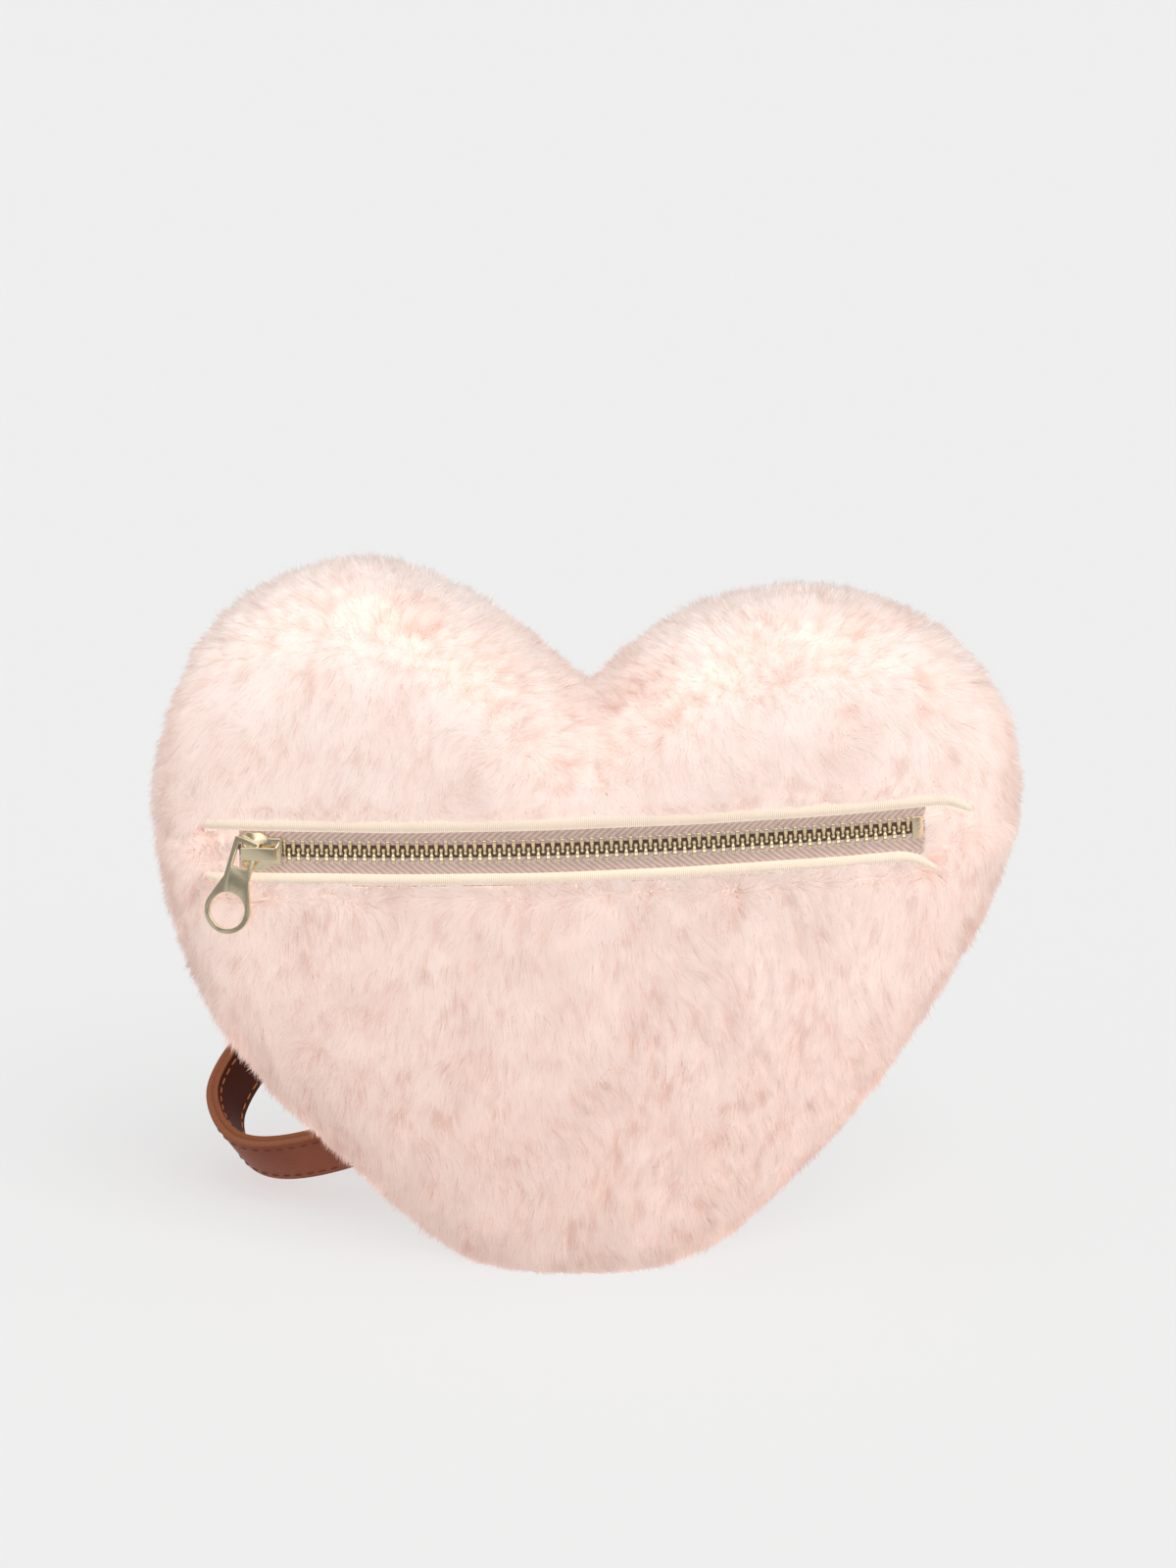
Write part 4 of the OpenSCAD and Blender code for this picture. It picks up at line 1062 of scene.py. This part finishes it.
class PURSE_OT_filling(PieceOperator):
    """Fills the purse with wadding and lines its pocket"""

    bl_idname = "purse.filling"
    bl_label = "Wadding and lining"

    def build(self, settings):
        """Closed shells under the panels, drawn in from the heart's outline; the front ones leave
        the zip's slot open."""
        wadding = Surface("wadding_fibre", (0.86, 0.84, 0.80), 0.95, sheen=0.2)
        tangle = wadding.noise(420, 5, 1.5)
        wadding.colour(wadding.ramp(tangle, (0.3, (0.74, 0.72, 0.68)), (0.7, (0.93, 0.92, 0.89))))
        wadding.bump(tangle, 0.8, 0.0008)
        # Painted shade: the pocket's lining is painted dark brown for the shade inside the closed
        # pocket, which shows between the teeth; its rows are painted darker in their furrows.
        satin = Surface("pocket_satin_painted_shade", (0.085, 0.050, 0.042), 0.38, sheen=0.3)
        rows = satin.wave(satin.apart(satin.place())["Z"], 0.0006)
        level = satin.number("ADD", satin.number("MULTIPLY", rows, 0.5), 0.5)
        satin.colour(satin.ramp(level, (0.0, (0.070, 0.042, 0.036)), (1.0, (0.105, 0.062, 0.052))))
        satin.bump(rows, 0.3, 0.00008)
        wadding_in = FUR_T + LAYER_GAP
        lining_in = wadding_in + WADDING_T + LAYER_GAP
        slot = TAPE_EDGE + TAPE_H + 2 * LAYER_GAP
        for side, panel, half in (("front", "pocket", slot), ("back", "back", 0)):
            piece = closed_panel(f"{side}_wadding", panel, wadding_in, wadding_in + WADDING_T,
                                 wadding.material, f"wadding_{side}", FILLING_ROWS, half)
        for side, panel, half in (("front", "pocket", TAPE_SHOWN / 2), ("back", "back", 0)):
            piece = closed_panel(f"{side}_lining", panel, lining_in, lining_in + LINING_T,
                                 satin.material, f"lining_{side}", FILLING_ROWS, half)


DOUBLES_WITHIN, FLAT_SEAM, SHARP_EDGE = 0.00001, 1.5, 25
STOP_ROUND, SLIDER_ROUND, PULLER_ROUND, TAB_ROUND = 0.35, 0.26, 0.36, 0.7


def bevelled(node, name, material, width, body="purse", steps=3):
    """A copy of a CAD node with its doubles and flat seams merged and its edges rounded."""
    shape = bmesh.new()
    shape.from_mesh(bpy.data.objects[node].data)
    bmesh.ops.remove_doubles(shape, verts=shape.verts, dist=DOUBLES_WITHIN)
    bmesh.ops.dissolve_limit(shape, angle_limit=math.radians(FLAT_SEAM), verts=shape.verts,
                             edges=shape.edges)
    weight = shape.edges.layers.float.new("bevel_weight_edge")
    for edge in shape.edges:
        if edge.is_convex and edge.calc_face_angle(0) > math.radians(SHARP_EDGE):
            edge[weight] = 1.0
    mesh = bpy.data.meshes.new(name)
    shape.to_mesh(mesh)
    shape.free()
    mesh.polygons.foreach_set("use_smooth", np.ones(len(mesh.polygons), bool))
    piece = new_piece(name, mesh, material, body, node)
    edge = piece.modifiers.new("rounded_edges", "BEVEL")
    edge.width, edge.segments = width * MM, steps
    edge.limit_method, edge.harden_normals = "WEIGHT", True
    return piece


def gold_material(name, colour, roughness, grain):
    """Pale gold plating, brushed along one way, a little duller in patches."""
    look = Surface(name, colour, roughness, metallic=1.0)
    stretch = look.node("Mapping", Vector=look.place(), Scale=grain)
    brushed = look.noise(1.0, 3, source=stretch.outputs[0])
    look.rough(look.noise(320, 3), roughness * 0.75, roughness * 1.35)
    look.colour(look.mix(brushed, shaded(colour, 0.90), colour))
    look.bump(brushed, 0.25, 0.00003)
    return look.material


# Rings of a tooth's head and of one of its legs, from the tape's edge: each ring's height, and its
# width and thickness as shares of the tooth's
TOOTH_HEAD = ((1.35, 1.00, 1.00), (1.00, 0.82, 0.92), (0.55, 0.62, 0.80), (0.05, 0.62, 0.76),
              (-0.35, 0.96, 0.80), (-0.72, 0.90, 0.72), (-0.90, 0.55, 0.50))
TOOTH_LEG = ((1.30, 1.00, 1.00), (2.65, 1.00, 1.00), (2.92, 0.86, 0.86), (3.00, 0.55, 0.55))
TOOTH_ROUND, NIB_R, NIB_UP, NIB_DEPTH = 0.26, 0.40, -0.42, 0.28
NIB_SEAT, NIB_SHARES, RING_SIDES = 0.78, (0.0, 0.55, 0.85, 1.0), 8


def tooth_shape():
    """One tooth in its own frame (along, out, up): a head that narrows to a neck and widens again
    to a nib, and two legs that clamp the tape, each a stack of eight sided rings."""
    ring = rounded_box(TOOTH_W / 2, TOOTH_T / 2, TOOTH_ROUND, corner=1)
    leg_t = (TOOTH_T - TAPE_T) / 4
    leg = rounded_box(TOOTH_W / 2, leg_t, TOOTH_ROUND, corner=1)

    def at(shape, up):
        return np.concatenate([shape, np.full((len(shape), 1), up)], 1)

    stacks = [[at(ring * (w, t), up) for up, w, t in TOOTH_HEAD][::-1]]
    for side in (1, -1):
        seat = (0, side * (TAPE_T / 2 + leg_t))
        stacks.append([at(leg * (w, t) + seat, up) for up, w, t in TOOTH_LEG])
    turn = np.arange(RING_SIDES) * TURN / RING_SIDES
    stacks.append([])
    for share in NIB_SHARES:
        r = NIB_R * math.sqrt(1 - share ** 2)
        out = np.full(RING_SIDES, -TOOTH_T / 2 * NIB_SEAT - NIB_DEPTH * share)
        stacks[-1].append(np.stack([r * np.cos(turn), out, NIB_UP + r * np.sin(turn)], -1))
    quads, triangles, start = [], [], 0
    for rings in stacks:
        quads.append(grid_faces(len(rings), len(ring), wrap_columns=True, start=start))
        triangles.append(end_caps(len(rings), len(ring), start))
        start += len(rings) * len(ring)
    return np.concatenate(sum(stacks, [])), np.concatenate(quads), np.concatenate(triangles)


class PURSE_OT_teeth(PieceOperator):
    """Clamps the two rows of teeth on the tapes, and their stops"""

    bl_idname = "purse.teeth"
    bl_label = "Teeth and stops"

    def build(self, settings):
        """The same tooth at every pitch along the arc, the lower row half a pitch on and upside
        down. Out runs away from the purse, so the tooth's own out is turned over."""
        gold = gold_material("tooth_gold", tuple(settings.metal_colour), 0.18, (900, 900, 200))
        shape, quads, triangles = tooth_shape()
        for name, node, sign, count in (("upper_teeth", "zip_teeth_upper", 1, TEETH_COUNT),
                                        ("lower_teeth", "zip_teeth_lower", -1, TEETH_COUNT - 1)):
            start = TEETH_START + (0 if sign > 0 else TOOTH_PITCH / 2)
            at = start + np.arange(count)[:, None] * TOOTH_PITCH
            points = zip_place(at + shape[None, :, 0], -shape[None, :, 1],
                               sign * shape[None, :, 2])
            every, caps = (repeated(faces, count, len(shape))[:, ::sign]
                           for faces in (quads, triangles))
            add_mesh(name, points, quads=every, triangles=caps, material=gold,
                     node=node)
        bevelled("zip_top_stops", "top_stops", gold, STOP_ROUND)
        bevelled("zip_bottom_stop", "bottom_stop", gold, STOP_ROUND)


def repeated(faces, count, points):
    """The faces of one shape, for as many copies of it as asked."""
    first = (np.arange(count) * points)[:, None, None]
    return (faces[None] + first).reshape(-1, faces.shape[-1])


class PURSE_OT_slider(PieceOperator):
    """Puts the slider and its puller on the zip"""

    bl_idname = "purse.slider"
    bl_label = "Slider and puller"

    def build(self, settings):
        """Rounded copies of the slider and the puller, with a brushed pale gold finish."""
        gold = gold_material("slider_gold", shaded(settings.metal_colour, 0.97), 0.17,
                             (350, 350, 2600))
        bevelled("zip_slider", "slider_body", gold, SLIDER_ROUND, "slider")
        bevelled("zip_puller", "pear_puller", gold, PULLER_ROUND, "puller", 4)


def tab_place(p):
    """From the tab's frame, whose bar lies along X, to the floor's."""
    return stance(turned(p, TAB_TURN, "y") + (TAB_X, TAB_OUT, TAB_Z))


RING_H = RING_IN_H + RING_WIRE_D
RING_W = RING_IN_W + RING_WIRE_D
BAR_DIR, HANG_DIR = (turned((along, 0, -up), -LEAN, "x") for along, up in (
    (math.cos(math.radians(TAB_TURN)), math.sin(math.radians(TAB_TURN))),
    (-math.sin(math.radians(TAB_TURN)), math.cos(math.radians(TAB_TURN)))))
OUT_DIR = turned((0, 1, 0), -LEAN, "x")
BEND_DIR = unit(np.array([-0.42, -0.53, 0.74]))
BAR_AT = stance((TAB_X, TAB_OUT, TAB_Z)) + HANG_DIR * RING_H
BRANCH_OFF = STRAP_T / 2 + LAYER_GAP
RIVET_AT = BAR_AT + HANG_DIR * RIVET_L
STRAP_CORNER, STRAP_GLUED_CORNER, STRAP_SOFTENED = 0.40, 0.06, 15
STITCH_FROM_EDGE, TAB_STITCH_FROM_EDGE, TAB_STITCH = 2.1, 2.0, 3.0
RING_BEND, RING_COLUMNS, CORNER_POINTS = 2.0, 20, 7
RIVET_RIM, RIVET_COLUMNS, RIVET_LEDGE, RIVET_TOP_R, RIVET_GAP = 0.25, 40, 0.15, 0.02, 0.08
# Where the strap's stitches start and how far they keep from the ring's bar, and how far the tab's
# keep from its free end and from its middle
STITCH_START, STITCH_CLEAR, TAB_END_FREE, TAB_MIDDLE_FREE = 0.4, 2.5, 1.6, 2.0
TAB_STITCH_L = 2.2
# A stitch: its rise and how it dips with the cube of the way to its ends, its roundness, the power
# that narrows its ends, and its flatness
STITCH_RISE, STITCH_DIP, STITCH_FULL, STITCH_POWER, STITCH_FLAT = 0.30, 0.95, 1.02, 6, 0.8
# Past this share of its turn on edge, the strap is smoothed.
SOFT_FROM = 0.3


def strap_line(steps=14):
    """The strap's middle line and its three directions, at even steps of its route: out along one
    branch, round the ring's bar, back along the other and round the bend, where it stands on
    edge."""
    edge_z = STRAP_W / 2 * BEND_DIR[2] + STRAP_T / 2 * math.hypot(*BEND_DIR[:2])
    spread = BRANCH_OFF + STRAP_LAYER_T / 2
    far = RIVET_AT + HANG_DIR * RIVET_L
    route = [far - OUT_DIR * spread, RIVET_AT - OUT_DIR * BRANCH_OFF,
             BAR_AT + (HANG_DIR - OUT_DIR) * FOLD_R]
    route += [BAR_AT - (OUT_DIR * math.cos(a) + HANG_DIR * math.sin(a)) * FOLD_R
              for a in np.radians((0, 45, 90, 135, 180))]
    route += [BAR_AT + (HANG_DIR + OUT_DIR) * FOLD_R, RIVET_AT + OUT_DIR * BRANCH_OFF,
              far + OUT_DIR * spread]
    turn = [0.0] * len(route)
    for left, back, high, turning in STRAP_SHARES[::-1]:
        route.append(np.array([*(BAR_AT[:2] + np.array([left, back]) * STRAP_REACH),
                               edge_z + high * (BAR_AT[2] - edge_z)]))
        turn.append(turning)
    line = smooth_line(np.array(route), steps)
    turn = smooth_line(np.array(turn)[:, None], steps)
    # Leather keeps no corners: round the bend, each point is the mean of a stretch of neighbours.
    near = sum(np.roll(line, k, 0) * (1 + math.cos(math.pi * k / STRAP_SOFTENED))
               for k in range(1 - STRAP_SOFTENED, STRAP_SOFTENED)) / (2 * STRAP_SOFTENED)
    line = mix(line, near, ease((turn - SOFT_FROM) / (1 - SOFT_FROM)))
    ahead = unit(np.roll(line, -1, 0) - np.roll(line, 1, 0))
    wide = BEND_DIR * turn - BAR_DIR * (1 - turn)
    wide = unit(wide - ahead * np.sum(wide * ahead, -1, keepdims=True))
    return line, ahead, wide, np.cross(ahead, wide)


def leather_material(name, colour, edge, specular=0.16):
    """Smooth leather with pores and faint creases, and a paler burnished edge."""
    look = Surface(name, colour, 0.48, specular=specular)
    pores = look.node("TexVoronoi", Scale=1500.0, Vector=look.place()).outputs["Distance"]
    fine = look.noise(900, 3)
    face = look.mix(look.noise(70, 4), shaded(colour, 0.80), shaded(colour, 1.22))
    worn = look.mix(fine, shaded(edge, 0.86), shaded(edge, 1.12))
    look.colour(look.mix(look.told("edge"), face, worn))
    look.rough(fine, 0.38, 0.62)
    look.bump(look.number("ADD", pores, fine), 0.35, 0.00010)
    return look.material


def thread_material(name, colour):
    """Waxed thread, twisted."""
    look = Surface(name, colour, 0.6, specular=0.4)
    look.colour(look.ramp(look.noise(3500, 1), (0.3, shaded(colour, 0.75)), (0.7, tuple(colour))))
    return look.material


def stitched(name, centres, ahead, out, material, body, length=2.5, thick=0.26):
    """A row of stitches: each a thread that dips into the leather at its two ends, round in section
    and flattened a little, along its own direction."""
    rings, sides = 7, 6
    t = np.linspace(-1, 1, rings)
    angle = np.arange(sides) * TURN / sides
    side = np.cross(ahead, out)
    rise = (STITCH_RISE - np.abs(t) ** 3 * STITCH_DIP) * thick
    full = np.sqrt(np.clip(STITCH_FULL - t ** STITCH_POWER, 0.05, 1)) * thick
    along = (t * length / 2)[None, :, None, None] * ahead[:, None, None]
    around = (full[:, None] * np.cos(angle))[None, ..., None] * side[:, None, None]
    lift = (rise[:, None] + full[:, None] * STITCH_FLAT * np.sin(angle))[None, ..., None]
    points = centres[:, None, None] + along + around + lift * out[:, None, None]
    quads, caps = (repeated(faces[:, ::-1], len(centres), rings * sides) for faces in (
        grid_faces(rings, sides, wrap_columns=True), end_caps(rings, sides)))
    add_mesh(name, points, quads=quads, triangles=caps, material=material, body=body)


def at_steps(line, step, start):
    """Places round a line at even distances: each row's index and share of the way to the next."""
    lengths = np.linalg.norm(np.roll(line, -1, 0) - line, axis=1)
    total = np.concatenate([[0], np.cumsum(lengths)])
    where = np.arange(start, total[-1] - step / 2, step)
    row = np.clip(np.searchsorted(total, where, side="right") - 1, 0, len(lengths) - 1)
    return row, (where - total[row]) / lengths[row]


def ring_line():
    """The ring's middle line in the tab's frame: a rectangle with quarter circles at its
    corners."""
    half, points = RING_W / 2, []
    for x, z, start in ((half, 0, 0), (half, -RING_H, -90), (-half, -RING_H, -180),
                        (-half, 0, -270)):
        mid = np.array([x - math.copysign(RING_BEND, x), 0,
                        z + (RING_BEND if z < 0 else -RING_BEND)])
        for a in np.radians(np.linspace(90 + start, start, CORNER_POINTS)):
            points.append(mid + RING_BEND * np.array([math.cos(a), 0, math.sin(a)]))
    return np.array(points)


class PURSE_OT_strap(PieceOperator):
    """Folds and stitches the leather strap"""

    bl_idname = "purse.strap"
    bl_label = "Strap"

    def build(self, settings):
        """Two layers of leather along one closed route, stitched through near both edges. The route
        goes round the bar of the ring behind the purse."""
        edge = settings.leather_edge
        line, ahead, wide, out = strap_line()
        for name, node, slot, side, material in (
                ("outer_strap", "strap_outer", "leather", 1,
                 leather_material("strap_leather", settings.leather_colour, edge)),
                # The inner layer's colour holds painted shade as well as the leather's own darker
                # colour.
                ("inner_strap", "strap_inner", "leather_lining", -1,
                 leather_material("strap_lining_leather", settings.leather_inside_and_shade, edge, 0.05))):
            section = self.section(side)
            middle = side * (STRAP_GLUE + STRAP_T) / 4
            points = (line[:, None] + section[None, :, :1] * wide[:, None]
                      + (section[None, :, 1:] + middle) * out[:, None])
            at_edge = np.abs(section[:, 0]) >= STRAP_W / 2 - STRAP_CORNER + 0.01
            add_mesh(name, points, quads=grid_faces(len(line), len(section), True, True),
                     material=material, body="strap", node=node,
                     tones={"edge": np.tile(at_edge.astype(float), len(line))})
        self.stitches(settings, line, ahead, wide, out)

    def section(self, side):
        """A layer's rounded rectangle, whose two corners on the glued side are almost square."""
        half = np.array([STRAP_W / 2, (STRAP_T - STRAP_GLUE) / 4])
        section = rounded_box(*half, STRAP_CORNER, corner=4)
        glued = section[:, 1] * side < 0
        signs = np.sign(section[glued])
        inset = np.minimum(STRAP_GLUED_CORNER, np.abs(signs * half - section[glued]))
        section[glued] = signs * half - signs * inset
        return section

    def stitches(self, settings, line, ahead, wide, out):
        """Four rows, near both edges of both faces. The inner face's leave the bar free."""
        row, share = at_steps(line, settings.stitch_length / MM, STITCH_START)
        share = share[:, None]
        middle, way, side, face = (mix(v[row], v[(row + 1) % len(line)], share)
                                   for v in (line, ahead, wide, out))
        way, side, face = unit(way), unit(side), unit(face)
        clear = np.linalg.norm(middle - BAR_AT, axis=1) > FOLD_R + STITCH_CLEAR
        threads = {1: thread_material("outer_thread", shaded(settings.leather_colour, 0.55)),
                   -1: thread_material("inner_thread", settings.thread_colour)}
        for place, (edge, sign) in enumerate(((1, 1), (-1, 1), (1, -1), (-1, -1)), 1):
            keep = clear | (sign > 0)
            at = middle + side * edge * (STRAP_W / 2 - STITCH_FROM_EDGE) + face * sign * STRAP_T / 2
            stitched(f"strap_stitches_{place}", at[keep], way[keep], (face * sign)[keep],
                     threads[sign], "strap")


class PURSE_OT_tab(PieceOperator):
    """Sews the strap's tab on the back"""

    bl_idname = "purse.tab"
    bl_label = "Strap tab"

    def build(self, settings):
        """A rounded copy of the folded tab, with a row of stitches down each side of its sewn
        half."""
        leather = leather_material("tab_leather", settings.leather_colour, settings.leather_edge)
        bevelled("strap_tab", "stitched_tab", leather, TAB_ROUND)
        thread = thread_material("tab_thread", shaded(settings.leather_colour, 0.55))
        steps = np.arange(TAB_STITCH, TAB_L - TAB_END_FREE, TAB_STITCH)
        steps = steps[steps > TAB_L / 2 + TAB_MIDDLE_FREE]
        for place, side in enumerate((1, -1), 1):
            at = np.stack(np.broadcast_arrays(side * (TAB_W / 2 - TAB_STITCH_FROM_EDGE),
                                              2 * TAB_T - TAB_DROP, steps), -1)
            way = tab_place(at + (0, 0, 1)) - tab_place(at)
            stitched(f"tab_stitches_{place}", tab_place(at), way, np.tile(OUT_DIR, (len(steps), 1)),
                     thread, "purse", TAB_STITCH_L)


class PURSE_OT_ring(PieceOperator):
    """Hangs the ring in the tab and rivets the strap on it"""

    bl_idname = "purse.ring"
    bl_label = "Ring and rivet"

    def build(self, settings):
        """A rectangular ring of round wire, and a shaft with two domed caps that is turned about
        the rivet's line."""
        gold = gold_material("ring_gold", tuple(settings.metal_colour), 0.20, (600, 600, 600))
        line = tab_place(ring_line())
        ahead = unit(np.roll(line, -1, 0) - np.roll(line, 1, 0))
        side = unit(np.cross(ahead, OUT_DIR))
        self.revolved("square_ring", line[:, None], RING_R, side[:, None],
                      np.cross(side, ahead)[:, None], RING_COLUMNS, gold, "ring", "strap_ring")
        grip = BRANCH_OFF + STRAP_T / 2 + RIVET_GAP
        dome = RIVET_CAP_T - RIVET_RIM
        half = [(RIVET_D / 2, 0), (RIVET_D / 2, grip), (RIVET_CAP_D / 2 - RIVET_LEDGE, grip)]
        half += [(RIVET_CAP_D / 2 * math.cos(a), grip + RIVET_RIM + dome * math.sin(a))
                 for a in np.radians(np.linspace(0, 90, CORNER_POINTS + 1))[:-1]]
        half.append((RIVET_TOP_R, grip + RIVET_CAP_T))
        profile = np.array([(r, -h) for r, h in half[:0:-1]] + half)[:, None]
        self.revolved("domed_rivet", RIVET_AT + profile[..., 1:] * OUT_DIR, profile[..., :1],
                      np.array([1.0, 0, 0]), np.cross(OUT_DIR, (1.0, 0, 0)), RIVET_COLUMNS, gold,
                      "strap", "strap_rivet")

    def revolved(self, name, middle, radius, across, other, columns, material, body, node):
        """Circles of a radius round the middle points, in the plane of two directions."""
        turn = np.linspace(0, TURN, columns, endpoint=False)[None, :, None]
        points = middle + radius * np.cos(turn) * across + radius * np.sin(turn) * other
        rows, ring = len(points), node == "strap_ring"
        add_mesh(name, points, quads=grid_faces(rows, columns, ring, True),
                 triangles=None if ring else end_caps(rows, columns), material=material,
                 body=body, node=node)


CLASSES = (PurseSettings, PURSE_OT_stage, PURSE_OT_filling, PURSE_OT_panels, PURSE_OT_pile,
           PURSE_OT_piping, PURSE_OT_tapes, PURSE_OT_teeth, PURSE_OT_slider, PURSE_OT_strap,
           PURSE_OT_tab, PURSE_OT_ring)
MAKERS = [kind for kind in CLASSES if issubclass(kind, PieceOperator)]


class PURSE_PT_pieces(bpy.types.Panel):
    """Lists the purse's settings and the makers of its pieces"""

    bl_label = "Plush purse"
    bl_idname = "PURSE_PT_pieces"
    bl_space_type = "VIEW_3D"
    bl_region_type = "UI"
    bl_category = "Purse"

    def draw(self, context):
        """One row for each setting and each operator."""
        for key in PurseSettings.__annotations__:
            self.layout.prop(context.scene.purse, key)
        for kind in MAKERS:
            self.layout.operator(kind.bl_idname)


def register():
    """Makes the settings, the operators and the panel known."""
    for kind in (*CLASSES, PURSE_PT_pieces):
        bpy.utils.register_class(kind)
    bpy.types.Scene.purse = bpy.props.PointerProperty(type=PurseSettings)


def unregister():
    """Takes them away again."""
    del bpy.types.Scene.purse
    for kind in reversed((*CLASSES, PURSE_PT_pieces)):
        bpy.utils.unregister_class(kind)


def main():
    register()
    for kind in MAKERS:
        group, name = kind.bl_idname.split(".")
        getattr(getattr(bpy.ops, group), name)()


if __name__ == "__main__":
    main()
